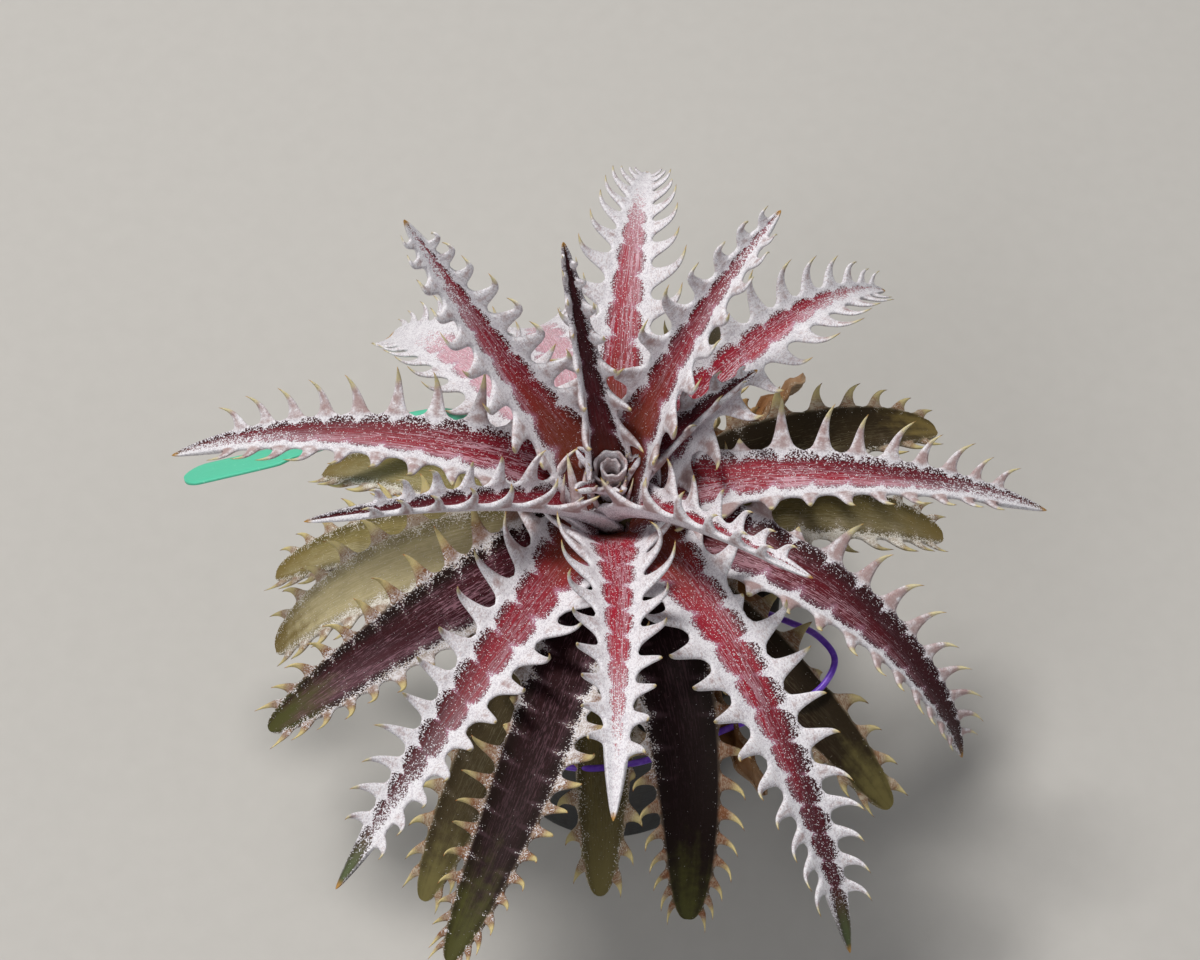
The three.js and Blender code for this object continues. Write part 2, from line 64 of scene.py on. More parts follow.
# A spine whose point isn't near a solid's point has no room, and is cut to a stub.
SPINE = Measures(height=12.0, most=9.5, first=8.0, heart_first=2.8, pitch=7.6, stagger=0.2,
                 stray=0.14, uneven=0.2, tilt=0.3, curls=(0.55, 1.3, 0.0), backward=-0.45,
                 forward=0.7, near=0.9, stub=0.25, least=0.26, thin=0.32, thick=0.7,
                 fan=0.85)


def table(fields, rows):
    """Rows by their first entry, each with its other entries named."""
    return {name: dict(zip(fields.split(), row)) for name, *row in rows}


# How each kind of leaf differs: the size and spacing of its spines, how much closer they
# stand at the tip and where they end, the blade's taper, the width of its base and its
# thickness, how far the end of a spine hooks over, how long the spines of the comb round
# a blunt tip stay and how deeply the blade is creased, in millimetres, whether its spines
# are finely drawn, and its finish.
KINDS = table("spines space crowd bare taper neck body hook comb crease fine slot", [
    ("heart", 0.3, 0.45, 0.5, 0.1, 0.9, 0.9, 1.0, 0.9, 0.0, 0.0, False, "red_leaf"),
    ("young", 0.7, 1.0, 0.5, 0.1, 0.9, 1.6, 1.0, 1.0, 0.0, 0.0, True, "red_leaf"),
    ("red", 1.0, 1.0, 0.5, 0.1, 0.8, 1.45, 1.0, 0.5, 0.0, 0.0, True, "red_leaf"),
    ("dark", 0.85, 1.0, 0.62, 0.05, 0.42, 1.2, 1.0, 0.3, 3.6, 0.0, True, "dark_leaf"),
    ("old", 0.75, 1.15, 0.5, 0.08, 0.4, 1.0, 0.8, 0.3, 3.4, 0.0, False, "old_leaf"),
    ("dry", 0.5, 1.3, 0.5, 0.1, 0.6, 0.55, 0.5, 0.8, 0.0, 0.7, False, "dry_leaf"),
])
# The small spines towards the tip: how much closer each stands than the one before, the
# part of the length that they leave bare, and the closest that they stand in millimetres,
# on a pointed leaf and on a blunt one with a comb.
POINTED_END = (0.8, 0.035, 0.75)
COMB_END = (0.8, 0.01, 0.8)

# One line a leaf, from the heart outwards: bearing, seat below the crown, rise, fall of
# the pitch, sway of the heading, length, width, fold and roll.
FIELDS = "bearing seat rise fall sway length width fold roll".split()
LEAVES = {
    "young": [  # leaf_01 to leaf_04
        (114, 3, 67, 5, -3, 46, 6, 60, 0),
        (31, 6, 46, 34, 0, 31, 6, 60, 0),
        (210, 9, 50, 40, -12, 58, 7, 60, 10),
        (310, 7, 50, 40, 12, 48, 7, 60, -25),
    ],
    "red": [  # leaf_05 to leaf_14
        (51, 3.5, 60, 36, -6, 54, 9, 44, 10),
        (148, 6, 46, -8, -4, 59, 10, 28, -18),
        (86, 6.5, 46, 94, -3, 75, 11, 24, 0),
        (43, 9.5, 52, 102, -2, 70, 11, 24, 14),
        (173, 7.5, 36, 70, 3, 76, 11, 22, -6),
        (2, 8.5, 21, 56, 0, 74, 11, 22, 6),
        (273, 11, 46, 54, -6, 70, 10, 32, 0),
        (338, 14, 27, 104, -13, 79, 14, 20, 4),
        (304.5, 10, 23, 86, -12, 88, 12, 22, 0),
        (241, 10.5, 19, 38, -5, 79, 12, 22, 0),
    ],
    "dark": [  # leaf_15 to leaf_19
        (218, 15, 15, 30, -4, 63, 14, 20, -6),
        (131, 13, 27, 84, 0, 64, 12, 22, -8),
        (106, 17, 28, 112, 0, 66, 13, 22, 0),
        (258, 17, 16, 14, -9, 82, 13, 20, 0),
        (293, 20.5, 21, 96, -28, 68, 14, 20, 0),
    ],
    "old": [  # leaf_20 to leaf_29
        (25, 17.5, 18, 60, 0, 61, 13, 20, 6),
        (190, 19.5, 14, 76, 0, 62, 14, 18, -6),
        (66, 20, 16, 80, 0, 66, 13, 20, 0),
        (176, 24, 10, 58, 0, 58, 13, 18, 0),
        (152, 25.5, 6, 54, 0, 58, 13, 18, 0),
        (10, 22, 11, 58, 0, 58, 13, 18, 6),
        (318, 24, 9, 50, 0, 60, 13, 18, 0),
        (242, 22.5, 8, 50, 0, 64, 12, 18, 0),
        (96, 25, 8, 60, 0, 62, 13, 18, 0),
        (268, 26, 4, 40, 0, 54, 12, 18, 0),
    ],
    "dry": [  # dry_leaf_01 to dry_leaf_05
        (300, 28, 2, 14, 0, 44, 8, 50, 40),
        (45, 26, 8, 10, 0, 42, 8, 50, -40),
        (208, 28, 2, 40, 0, 22, 9, 40, 20),
        (125, 28, 0, 40, 0, 20, 9, 40, 0),
        (345, 28, 2, 40, 0, 22, 9, 40, 0),
    ],
}

# What sets a leaf's looks apart from its kind's: how far its amber base reaches, in
# millimetres, how dark it is, how strongly it is streaked, how wide its white edges are,
# how green its bare tip is, how bare and tan its spines are, how far a lilac veil, partly
# a painted sheen, covers its channel and how sombre its outer part is, how far its spines
# hook along the leaf and upwards, how long those of the margin that faces the front are,
# how stout they are, and whether small spines follow it to the tip. The plain look leaves
# the hook to the kind.
LOOKS = table("amber dark streak pale green tan lilac sombre hook lift lower stout spiny_tip", [
    ("plain", 10, 0.3, 0.3, 0.2, 0.0, 0.3, 0.0, 0.3, None, 0.3, 1.0, 0.19, False),
    ("leaf_01", 14, 0.85, 0.1, 0.1, 0, 0.2, 0.0, 0.9, 0.6, 0.2, 1.0, 0.2, True),
    ("leaf_02", 9, 0.5, 0.2, 0.3, 0, 0.2, 0.0, 0.9, 1.6, 0.3, 1.0, 0.2, True),
    ("leaf_03", 8, 0.45, 0.3, 0.9, 0, 0.15, 0.0, 0.8, 0.5, 0.3, 1.0, 0.2, False),
    ("leaf_04", 8, 0.1, 0.5, 1.0, 0, 0.1, 0.5, 0.1, 0.5, 0.3, 1.0, 0.2, False),
    ("leaf_05", 26, 0.3, 0.5, 0.4, 0, 0.3, 0.5, 0.2, 1.3, 0.4, 1.0, 0.25, True),
    ("leaf_06", 27, 0.2, 0.55, 0.4, 0, 0.25, 0.65, 0.1, 1.5, 0.4, 1.0, 0.26, True),
    ("leaf_07", 24, 0.1, 0.8, 0.6, 0, 0.1, 0.98, 0.0, 0.6, 0.3, 1.0, 0.26, True),
    ("leaf_08", 20, 0.0, 1.1, 0.9, 0, 0.2, 0.8, 0.1, 0.4, 0.3, 1.0, 0.24, True),
    ("leaf_09", 12, 0.3, 0.9, 0.3, 0.2, 0.7, 0.8, 0.5, 0.2, 0.3, 0.85, 0.18, False),
    ("leaf_10", 14, 0.15, 0.9, 0.3, 0.2, 0.75, 0.9, 0.7, 0.1, 0.3, 0.6, 0.18, False),
    ("leaf_11", 9, 0.0, 0.6, 1.0, 0.2, 0.1, 0.9, 0.0, 0.1, 0.6, 1.0, 0.21, False),
    ("leaf_12", 10, 0.8, 0.6, 0.2, 0, 0.9, 0.15, 1.0, 0.2, 0.4, 0.6, 0.19, True),
    ("leaf_13", 22, 0.15, 0.7, 0.9, 1.0, 0.15, 0.1, 1.0, 0.1, 0.6, 1.0, 0.21, False),
    ("leaf_14", 20, 0.3, 0.4, 1.0, 1.0, 0.15, 0.7, 0.9, 0.0, 0.6, 1.0, 0.21, False),
    ("leaf_15", 10, 0.2, 0.9, 0.8, 0, 0.6, 0.5, 0.4, 0.2, 0.5, 1.0, 0.2, True),
    ("leaf_16", 4, 0.0, 1.2, 1.0, 0, 0.1, 1.15, 0.0, 0.2, 0.5, 1.0, 0.22, True),
    ("leaf_17", 4, 0.0, 1.2, 1.0, 0, 0.1, 1.15, 0.0, 0.2, 0.5, 1.0, 0.22, True),
    ("leaf_18", 12, 0.88, 0.25, 0.7, 0, 0.4, 0.2, 0.7, 0.2, 0.5, 1.0, 0.19, True),
    ("leaf_19", 12, 1.0, 0.1, 0.0, 0, 0.5, 0.0, 1.0, 0.2, 0.5, 1.0, 0.19, True),
    # leaf_20, leaf_22 and leaf_26 lie under other leaves on the right: their dark value is partly
    # their own brown and partly painted shade.
    ("leaf_20", 10, 1.0, 0.3, 0.3, 0, 0.8, 0.0, 0.6, 0.3, 0.4, 1.0, 0.2, True),
    ("leaf_21", 10, 0.0, 0.5, 0.4, 0, 0.7, 1.1, 0.0, 0.3, 0.4, 1.0, 0.2, True),
    ("leaf_22", 10, 0.8, 0.3, 0.2, 0, 0.2, 0.0, 0.6, 0.3, 0.4, 1.0, 0.2, True),
    ("leaf_23", 10, 0.22, 0.5, 0.4, 0, 0.8, 0.5, 0.0, 0.3, 0.4, 1.0, 0.2, True),
    ("leaf_24", 10, 0.3, 0.5, 0.4, 0, 0.7, 0.4, 0.1, 0.3, 0.4, 1.0, 0.2, True),
    ("leaf_25", 10, 0.5, 0.4, 1.0, 0, 0.0, 0.5, 0.2, 0.3, 0.4, 1.0, 0.2, True),
    ("leaf_26", 10, 1.1, 0.3, 0.0, 0.35, 0.6, 0.0, 1.0, 0.3, 0.4, 1.0, 0.2, True),
    ("leaf_27", 10, 0.85, 0.3, 0.5, 0.4, 0.5, 0.0, 0.7, 0.3, 0.4, 1.0, 0.2, True),
    ("leaf_29", 10, 0.3, 0.3, 0.2, 0.3, 0.6, 0.0, 0.3, 0.3, 0.4, 1.0, 0.2, True),
    # The whorl's dark look paints the inside of its roll near black: painted shade between the
    # turns.
    ("whorl", 0, 1.1, 0.0, 1.0, 0, 0.0, 0.0, 0.6, 0.0, 0.0, 1.0, 0.2, False),
])
PINKER = ("leaf_16", "leaf_17")     # dark leaves with the red ones' finish

# The heart: bearing, length, width and rise of its small leaves.
HEART = [(20, 9, 3.6, 78), (160, 11, 4, 74), (285, 10, 4, 74), (80, 13, 4.4, 70),
         (230, 14, 4.6, 66)]

# The whorl in the middle of the heart is one rolled leaf, and slender spines of the
# young leaves arch over it. An arch has a foot, a middle and a point, measured from the
# crown, and a radius at its foot.
WHORL = Measures(seed=7, width=4, bearing=0, turns=1.5, inner=0.8, outer=2.45, base=-6.0,
                 top=4.1, lip=0.36, wall=0.5, columns=130, rows=20, **LOOKS["whorl"])
ARCHES = [
    ((-5.6, 2.2, -2.5), (-4.4, 4.6, 3.6), (-1.4, 3.0, 3.6), 0.6),
    ((-4.4, 1.0, -2.5), (-3.8, 3.0, 2.4), (-1.2, 2.5, 2.6), 0.45),
    ((-5.0, -4.6, -3.5), (-6.4, -2.2, 1.5), (-7.2, 1.2, 5.6), 1.25),
    ((0.9, 3.4, -2.0), (0.5, 4.4, 2.0), (0.1, 5.2, 6.4), 0.6),
    ((4.9, -2.4, -3.0), (5.2, -0.4, 0.6), (6.3, 2.4, 1.4), 0.5),
    ((-8.0, -3.9, -2.0), (-7.9, -3.2, 1.0), (-7.6, -1.4, 3.4), 0.55),
    ((-6.8, -5.2, -3.0), (-6.2, -5.6, 1.2), (-4.4, -5.0, 2.4), 0.55),
    ((6.0, 6.6, -1.5), (3.6, 7.0, 2.6), (0.8, 5.2, 3.0), 0.6),
    ((1.2, -4.0, -3.5), (2.8, -4.4, 0.5), (3.4, -1.6, 2.6), 0.5),
    ((-2.2, -3.8, -3.0), (-3.6, -3.6, 1.0), (-3.4, -1.2, 2.6), 0.5),
]

# The label's and the wire's routes are measured from the crown.
LABEL = Measures(thickness=0.8, neck=4.6, head=7.5, head_length=21.0, shoulder=3.0, roll=32.0,
                 end=5.0, sides=36)
LABEL_ROUTE = [(-12, 15, -50), (-13, 16, -40), (-16, 19, -29), (-26, 23.5, -18),
               (-39, 23, -19.5), (-52.5, 22, -25.5), (-74.5, 20, -32)]
WIRE = Measures(diameter=1.1, steps=260, sides=20)
WIRE_ROUTE = [(19, -4, -46), (20, -5, -38), (23, -8, -29), (29.5, -13.5, -23.5),
              (34, -17, -22), (36.5, -21.5, -21.5), (34.5, -26, -22), (30, -29, -23),
              (20.5, -32, -24.5), (12.5, -35, -25.5), (4.5, -38, -26), (-6.5, -38.5, -27),
              (-13, -35, -28), (-15, -28, -29.5), (-14, -20, -32), (-13, -15, -38),
              (-12.5, -14, -46)]

# ---- Camera, floor and light ----------------------------------------------------------

ELEVATION = math.radians(58)
DISTANCE = 0.450
LENS = 83.7
ASIDE, BELOW = 0.00194, 0.00032     # how far the view's middle lies from the crown
FLOOR = 4000.0                      # half its side, in millimetres
SKY = Measures(colour=(0.9, 0.93, 1.0, 1.0), strength=0.11)
# Each light's name, place in metres, size, power and colour.
LIGHTS = [("key", (-0.26, 0.32, 1.12), 0.3, 10.0, (1.0, 0.98, 0.95)),
          ("fill", (0.9, -0.5, 0.7), 0.8, 1.2, (0.95, 0.97, 1.0)),
          ("front", (-0.5, -0.65, 0.9), 0.45, 3.3, (1.0, 1.0, 1.0))]


def aim(name, data, place, target):
    """An object at a place, looking at a target."""
    item = bpy.data.objects.new(name, data)
    bpy.context.scene.collection.objects.link(item)
    place, target = (Vector(point) for point in (place, target))
    item.location = place
    item.rotation_euler = (target - place).to_track_quat("-Z", "Y").to_euler()
    return item


def make_camera():
    """A camera in front of the crown and above it, which looks at a point beside it."""
    back = np.array([0.0, -math.cos(ELEVATION), math.sin(ELEVATION)])
    up = np.array([0.0, math.sin(ELEVATION), math.cos(ELEVATION)])
    target = np.array([-ASIDE, 0.0, CROWN * MM]) - up * BELOW
    data = bpy.data.cameras.new("camera")
    data.lens = LENS
    data.clip_start, data.clip_end = 0.02, 20.0
    bpy.context.scene.camera = aim("camera", data, target + back * DISTANCE, target)


def make_light(name, place, size, power, colour):
    """A round, soft light that looks at the plant."""
    data = bpy.data.lights.new(name, "AREA")
    data.shape = "DISK"
    data.size = size
    data.energy = power
    data.color = colour
    aim(name, data, place, (0.0, 0.0, 0.08))


# ---- Finishes: a small language for shader nodes --------------------------------------


def tint(code):
    """A colour of six hexadecimal figures, as a linear colour with alpha."""
    parts = [int(code[i:i + 2], 16) / 255 for i in (0, 2, 4)]
    return tuple(c / 12.92 if c <= 0.04045 else ((c + 0.055) / 1.055) ** 2.4
                 for c in parts) + (1.0,)


def sums(operation):
    """An operator's two methods, with the value on its left and on its right."""
    return (lambda value, other: value.sum(operation, value, other),
            lambda value, other: value.sum(operation, other, value))


class Value:
    """A socket that carries a number. Sums on it add Math nodes."""

    def __init__(self, paint, socket):
        self.paint, self.socket = paint, socket

    def sum(self, operation, *values):
        """The Math node that works an operation out on values and numbers."""
        return self.paint.node("ShaderNodeMath", {"operation": operation},
                               dict(enumerate(values)))

    __add__, __radd__ = sums("ADD")
    __sub__, __rsub__ = sums("SUBTRACT")
    __mul__, __rmul__ = sums("MULTIPLY")
    __truediv__, __rtruediv__ = sums("DIVIDE")


class Paint:
    """A material while it is being made. Its nodes take values, numbers and colours; a
    colour is six hexadecimal figures or the name of one of the material's tones."""

    def __init__(self, name, tones=None):
        self.tones = tones or {}
        self.material = bpy.data.materials.new(name)
        self.material.use_nodes = True
        self.tree = self.material.node_tree
        self.tree.nodes.clear()
        self.shader = self.tree.nodes.new("ShaderNodeBsdfPrincipled")
        output = self.tree.nodes.new("ShaderNodeOutputMaterial")
        self.tree.links.new(self.shader.outputs[0], output.inputs[0])

    def put(self, socket, value):
        """Links a value to a socket, or sets the socket to a colour or a number."""
        if isinstance(value, Value):
            self.tree.links.new(value.socket, socket)
        elif isinstance(value, str):
            socket.default_value = tint(self.tones.get(value, value))
        else:
            socket.default_value = value

    def node(self, kind, settings=None, sockets=None, output=0):
        """Any node: its settings first, a ramp's stops among them, then its sockets."""
        made = self.tree.nodes.new(kind)
        for name, value in (settings or {}).items():
            if name == "stops":
                ramp = made.color_ramp.elements
                while len(ramp) < len(value):
                    ramp.new(1.0)
                for stop, (place, colour) in zip(ramp, value):
                    stop.position, stop.color = place, tint(colour)
            else:
                setattr(made, name, value)
        for key, value in (sockets or {}).items():
            self.put(made.inputs[key], value)
        return Value(self, made.outputs[output])

    def attribute(self, name):
        """The three numbers of an attribute of the piece."""
        return self.apart(self.node("ShaderNodeAttribute", {"attribute_name": name}, output=1))

    def apart(self, vector):
        """The three numbers of a vector."""
        split = self.node("ShaderNodeSeparateXYZ", None, {0: vector}).socket.node
        return [Value(self, out) for out in split.outputs]

    def place(self):
        """Object coordinates, in metres."""
        return self.node("ShaderNodeTexCoord", output=3)

    def noise(self, vector, scale, detail=2.0, rough=0.5):
        """Cloudy noise at a vector times a scale."""
        return self.node("ShaderNodeTexNoise", None,
                         {"Vector": vector, "Scale": scale, "Detail": detail,
                          "Roughness": rough})

    def drawn(self, x, y, z, detail=2.0, rough=0.5):
        """Noise on three numbers, each of which is drawn out or pressed beforehand."""
        vector = self.node("ShaderNodeCombineXYZ", None, {0: x, 1: y, 2: z})
        return self.noise(vector, 1.0, detail, rough)

    def cells(self, vector, scale, output=0):
        """A pattern of cells: how far the nearest cell's middle is or, as output 1, the
        random numbers of that cell."""
        return self.node("ShaderNodeTexVoronoi", None,
                         {"Vector": vector, "Scale": scale}, output)

    def rise(self, value, low, high, start=0.0, end=1.0):
        """A smooth step from start to end while the value goes from low to high."""
        return self.node("ShaderNodeMapRange", {"interpolation_type": "SMOOTHSTEP"},
                         {0: value, 1: low, 2: high, 3: start, 4: end})

    def mix(self, factor, first, second):
        """A colour between two colours."""
        return self.node("ShaderNodeMix", {"data_type": "RGBA"},
                         {0: factor, 6: first, 7: second}, output=2)

    def finish(self, colour, rough, relief=None, shine=0.5):
        """The material. Its relief is a bump's height, strength and distance in metres."""
        sockets = {"Base Color": colour, "Roughness": rough, "Specular IOR Level": shine}
        if relief:
            relief = dict(zip(("Height", "Strength", "Distance"), relief))
            sockets["Normal"] = self.node("ShaderNodeBump", None, relief)
        for name, value in sockets.items():
            self.put(self.shader.inputs[name], value)
        return self.material


# ---- Meshes ---------------------------------------------------------------------------


def smooth_step(value):
    """A rise from 0 to 1 that is level at both ends."""
    value = np.clip(value, 0.0, 1.0)
    return value * value * (3.0 - 2.0 * value)


def unit(vectors):
    """Vectors in the same directions, each of length 1."""
    return vectors / np.linalg.norm(vectors, axis=-1, keepdims=True)


def lerp(start, end, share):
    """What lies between two values: the start at share 0 and the end at share 1."""
    return start + (end - start) * share


def between(places, known, rows):
    """Rows of a list at places between the known ones, by straight lines."""
    return np.stack([np.interp(places, known, column) for column in rows.T], -1)


def circle(sides):
    """Angles at even steps round a circle."""
    return np.linspace(0, 2 * np.pi, sides, endpoint=False)


def polar(radius, turn, height=0.0):
    """Points at a distance from the upright axis, a bearing and a height."""
    radius, turn, height = np.broadcast_arrays(radius, turn, height)
    return np.stack([radius * np.cos(turn), radius * np.sin(turn), height], -1)


def hashed(numbers):
    """A repeatable number from 0 to 1 for each whole number."""
    value = np.sin(np.asarray(numbers, float) * 12.9898) * 43758.5453
    return value - np.floor(value)


def grid_faces(columns, rows, turned=False):
    """Four corners for each cell of a grid of closed rings, stored ring by ring."""
    i, j = np.meshgrid(np.arange(columns - 1), np.arange(rows), indexing="ij")
    beside = (j + 1) % rows
    corners = [i * rows + j, (i + 1) * rows + j, (i + 1) * rows + beside, i * rows + beside]
    faces = np.stack(corners, -1).reshape(-1, 4)
    return faces[:, ::-1] if turned else faces


def with_poles(grid, poles=0.0):
    """A grid's rows as one list, with those of its two poles behind them."""
    rows = grid.reshape(-1, grid.shape[-1])
    return np.concatenate([rows, np.broadcast_to(poles, (2, rows.shape[1]))])


def closed_skin(grid, poles, clockwise=False):
    """Points and faces of a grid of closed rings with a fan of triangles to a pole at
    each end. Seen from the last ring's side they run anticlockwise, or else clockwise."""
    count, sides = grid.shape[:2]
    far = (count - 1) * sides
    ring = np.arange(sides)
    beside = np.roll(ring, -1)
    if clockwise:
        ring, beside = beside, ring
    pole = np.full(sides, count * sides)
    faces = [grid_faces(count, sides, not clockwise), np.stack([beside, ring, pole], -1),
             np.stack([ring + far, beside + far, pole + 1], -1)]
    return with_poles(grid, poles), faces


def make_piece(name, points, faces, fields=None):
    """A mesh object from points in millimetres, lists of faces and point attributes."""
    mesh = bpy.data.meshes.new(name)
    corners = np.concatenate([block.ravel() for block in faces])
    sizes = np.concatenate([np.full(len(block), block.shape[1]) for block in faces])
    mesh.vertices.add(len(points))
    mesh.vertices.foreach_set("co", (np.asarray(points) * MM).astype(np.float32).ravel())
    mesh.loops.add(len(corners))
    mesh.loops.foreach_set("vertex_index", corners.astype(np.int32))
    mesh.polygons.add(len(sizes))
    starts = np.cumsum(sizes) - sizes
    mesh.polygons.foreach_set("loop_start", starts.astype(np.int32))
    mesh.polygons.foreach_set("use_smooth", np.ones(len(sizes), bool))
    for label, data in (fields or {}).items():
        layer = mesh.attributes.new(label, "FLOAT_VECTOR", "POINT")
        layer.data.foreach_set("vector", data.astype(np.float32).ravel())
    mesh.update(calc_edges=True)
    mesh.validate()
    piece = bpy.data.objects.new(name, mesh)
    bpy.context.scene.collection.objects.link(piece)
    return piece


def dress(slot, nodes, points, faces, fields=None):
    """Makes a skin that takes the place of its CAD nodes, with the finish of a slot."""
    piece = make_piece(nodes[0] + "_skin", points, faces, fields)
    piece.data.materials.append(finishes[slot])
    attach(piece, "root")
    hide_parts(*nodes)


def weld(points, blocks):
    """Joins points that lie in one place, and drops faces that close up."""
    _, keep, owner = np.unique(np.round(points, 4), axis=0, return_index=True,
                               return_inverse=True)
    welded = []
    for block in blocks:
        block = owner.reshape(-1)[block]
        after = np.roll(block, -1, 1)
        quads = block[(block != after).all(1)]
        welded.append(quads)
        if block.shape[1] == 4:
            for j in range(4):
                closed = (block[:, j] == after[:, j]) & ((block != after).sum(1) == 3)
                welded.append(np.delete(block[closed], j, 1))
    return points[keep], [block for block in welded if len(block)]


def route_curve(route, count):
    """Points at even distances on a centripetal Catmull-Rom curve through a route, whose
    ends are drawn out in a straight line, the curve's direction at each and how far
    along each lies."""
    route = np.array(route, float) + (0, 0, CROWN)
    route = np.concatenate([[2 * route[0] - route[1]], route, [2 * route[-1] - route[-2]]])
    gaps = np.linalg.norm(np.diff(route, axis=0), axis=1)[:, None] ** 0.5
    x0, x1, x2, x3 = (route[i:len(route) - 3 + i] for i in range(4))
    d0, d1, d2 = (gaps[i:len(gaps) - 2 + i] for i in range(3))
    leave = ((x1 - x0) / d0 - (x2 - x0) / (d0 + d1) + (x2 - x1) / d1) * d1
    reach = ((x2 - x1) / d1 - (x3 - x1) / (d1 + d2) + (x3 - x2) / d2) * d1
    t = np.linspace(0, 1, 60)[:, None, None]
    dense = x1 + leave * t + (3 * (x2 - x1) - 2 * leave - reach) * t ** 2 \
        + (2 * (x1 - x2) + leave + reach) * t ** 3
    dense = dense.transpose(1, 0, 2).reshape(-1, 3)
    steps = np.linalg.norm(np.diff(dense, axis=0), axis=1)
    dense = dense[np.concatenate([[True], steps > 1e-9])]
    walked = np.concatenate([[0], np.cumsum(steps[steps > 1e-9])])
    places = np.linspace(0, walked[-1], count)
    points = between(places, walked, dense)
    return points, unit(np.gradient(points, axis=0)), places


def tube(points, along, radius, sides, outward):
    """A round tube along points, closed by a pole at each end. Its section is turned by
    the part of the outward direction that is square to the path."""
    first = unit(outward - along * (outward * along).sum(-1, keepdims=True))
    second = np.cross(along, first)
    turn = circle(sides)[:, None]
    ring = first[:, None] * np.cos(turn) + second[:, None] * np.sin(turn)
    skin = points[:, None] + ring * np.reshape(radius, (-1, 1, 1))
    return closed_skin(skin, points[[0, -1]])


# ---- Leaves ---------------------------------------------------------------------------


def stem_radius(height):
    """The stem's radius, which narrows evenly from its shoulder to its top."""
    rise = np.clip((height - STEM.shoulder) / (STEM.top - STEM.shoulder), 0, 1)
    return lerp(STEM.radius, STEM.top_radius, rise)


class Leaf(Measures):
    """A leaf's measures, with those of its kind and its looks, and its midline: the pitch
    falls evenly towards the tip, and leans towards upright near the seat by an
    exponential of the length."""

    step = 0.25

    def __init__(self, name, kind, seed, row):
        look = LOOKS.get(name, LOOKS["plain"]).items()
        known = {key: value for key, value in look if value is not None}
        super().__init__(name=name, kind=kind, seed=seed,
                         **{**KINDS[kind], **known, **dict(zip(FIELDS, row))})
        self.lengths = np.arange(int(self.length / self.step) + 2) * self.step
        height = CROWN - self.seat
        start = polar(stem_radius(height) - SHEATH.depth, math.radians(self.bearing), height)
        strides = self.axes(self.lengths[:-1] + self.step / 2)[0] * self.step
        self.places = start + np.concatenate([np.zeros((1, 3)), np.cumsum(strides, 0)])

    def axes(self, lengths):
        """Direction, side and upward normal at each length."""
        part = lengths / self.length
        hug = SHEATH.hold * np.exp(-lengths / SHEATH.length)
        pitch = np.radians(lerp(self.rise - self.fall * part, SHEATH.lean, hug))
        heading = np.radians(self.bearing + self.sway * part)
        along = polar(np.cos(pitch), heading, np.sin(pitch))
        side = np.stack([-np.sin(heading), np.cos(heading), 0 * heading], -1)
        up = np.cross(along, side)
        roll = np.radians(self.roll) * (1 - np.exp(-lengths / BLADE.roll_length))
        cos, sin = np.cos(roll)[..., None], np.sin(roll)[..., None]
        return along, side * cos + up * sin, up * cos - side * sin

    def at(self, lengths):
        """Places on the midline, by straight lines between its points."""
        return between(lengths, self.lengths, self.places)


def blade_skin(leaf, lengths, across, depth):
    """Points of the blade's skin. The section is an arc of the blade's width, each half
    bent through the fold; depth goes from 0 on the channel to 1 on the back."""
    part = np.clip(lengths / leaf.length, 0, 1)
    flare = lerp(leaf.neck, 1.0, np.clip(lengths / BLADE.neck_length, 0, 1))
    half = leaf.width / 2 * (1 - part) ** leaf.taper * flare
    middle = leaf.body * BLADE.middle * np.sqrt(1 - part) * leaf.width / BLADE.width
    close = np.sqrt(np.clip((1 - part) / BLADE.thin_tip, 0, 1))
    middle = np.maximum(BLADE.margin * close, middle)
    margin = np.minimum(BLADE.margin * close, middle)
    bend = math.radians(leaf.fold)
    angle = bend * across
    thick = lerp(margin, middle, 1 - across ** 2) * depth
    sideways = half * np.sin(angle) / bend + thick * np.sin(angle)
    upwards = half * (1 - np.cos(angle)) / bend - thick * np.cos(angle) \
        + leaf.crease * smooth_step(part * 3) * np.sin(1.1 * lengths + 2.5 * across)
    _, side, up = leaf.axes(lengths)
    return leaf.at(lengths) + side * sideways[..., None] + up * upwards[..., None]


def stray(leaf, index, sign, use):
    """A repeatable number from -0.5 to 0.5 for a spine, the same as in the solids."""
    return hashed(leaf.seed + 3 * (2 * index + (sign > 0)) + use) - 0.5


def bays(leaf, sign):
    """Lengths at which the bays between spines lie on one margin, and how many of them
    the solid has. Where small spines follow to the tip, their bays come last, each closer
    than the one before."""
    lengths = []
    length = SPINE.heart_first if leaf.kind == "heart" else SPINE.first
    while length <= leaf.length * (1 - leaf.bare):
        pitch = leaf.space * SPINE.pitch * (1 - leaf.crowd * length / leaf.length)
        shift = SPINE.stagger * sign + SPINE.stray * stray(leaf, len(lengths), sign, 0)
        lengths.append(length + pitch * shift)
        length += pitch
    solid = len(lengths)
    if leaf.comb or leaf.spiny_tip:
        closer, end, least = COMB_END if leaf.comb else POINTED_END
        length -= pitch
        pitch *= closer
        while pitch > least and length + pitch < leaf.length * (1 - end):
            length += pitch
            lengths.append(lengths[-1] + pitch)
            pitch *= closer
    return np.array(lengths), solid


# Shares of a spine's height at which the surface has a row and a column, where the
# spines are finely drawn and where they are not.
LEVELS = {True: np.array([0, 0.06, 0.14, 0.24, 0.35, 0.47, 0.59, 0.71, 0.82, 0.92, 1.0]),
          False: np.array([0, 0.08, 0.2, 0.36, 0.54, 0.72, 0.88, 1.0])}
BASE_COLUMNS, TIP_COLUMNS = 6, 9    # before the first spine and behind the last
TOP_ROWS, BACK_ROWS = 10, 7         # over the channel and under the blade
SPINE_STEPS = 40                    # along a spine's middle line


def flank(leaf, level, pitch):
    """Half width of a spine, along the leaf, at a share of its height: a flare that
    meets the bay, and a body that narrows to the point."""
    body = np.maximum(leaf.stout * pitch, np.minimum(SPINE.least, 0.3 * pitch))
    return (pitch / 2 - body) * (1 - np.sqrt(level)) ** 2.5 + body * (1 - level) ** 0.85


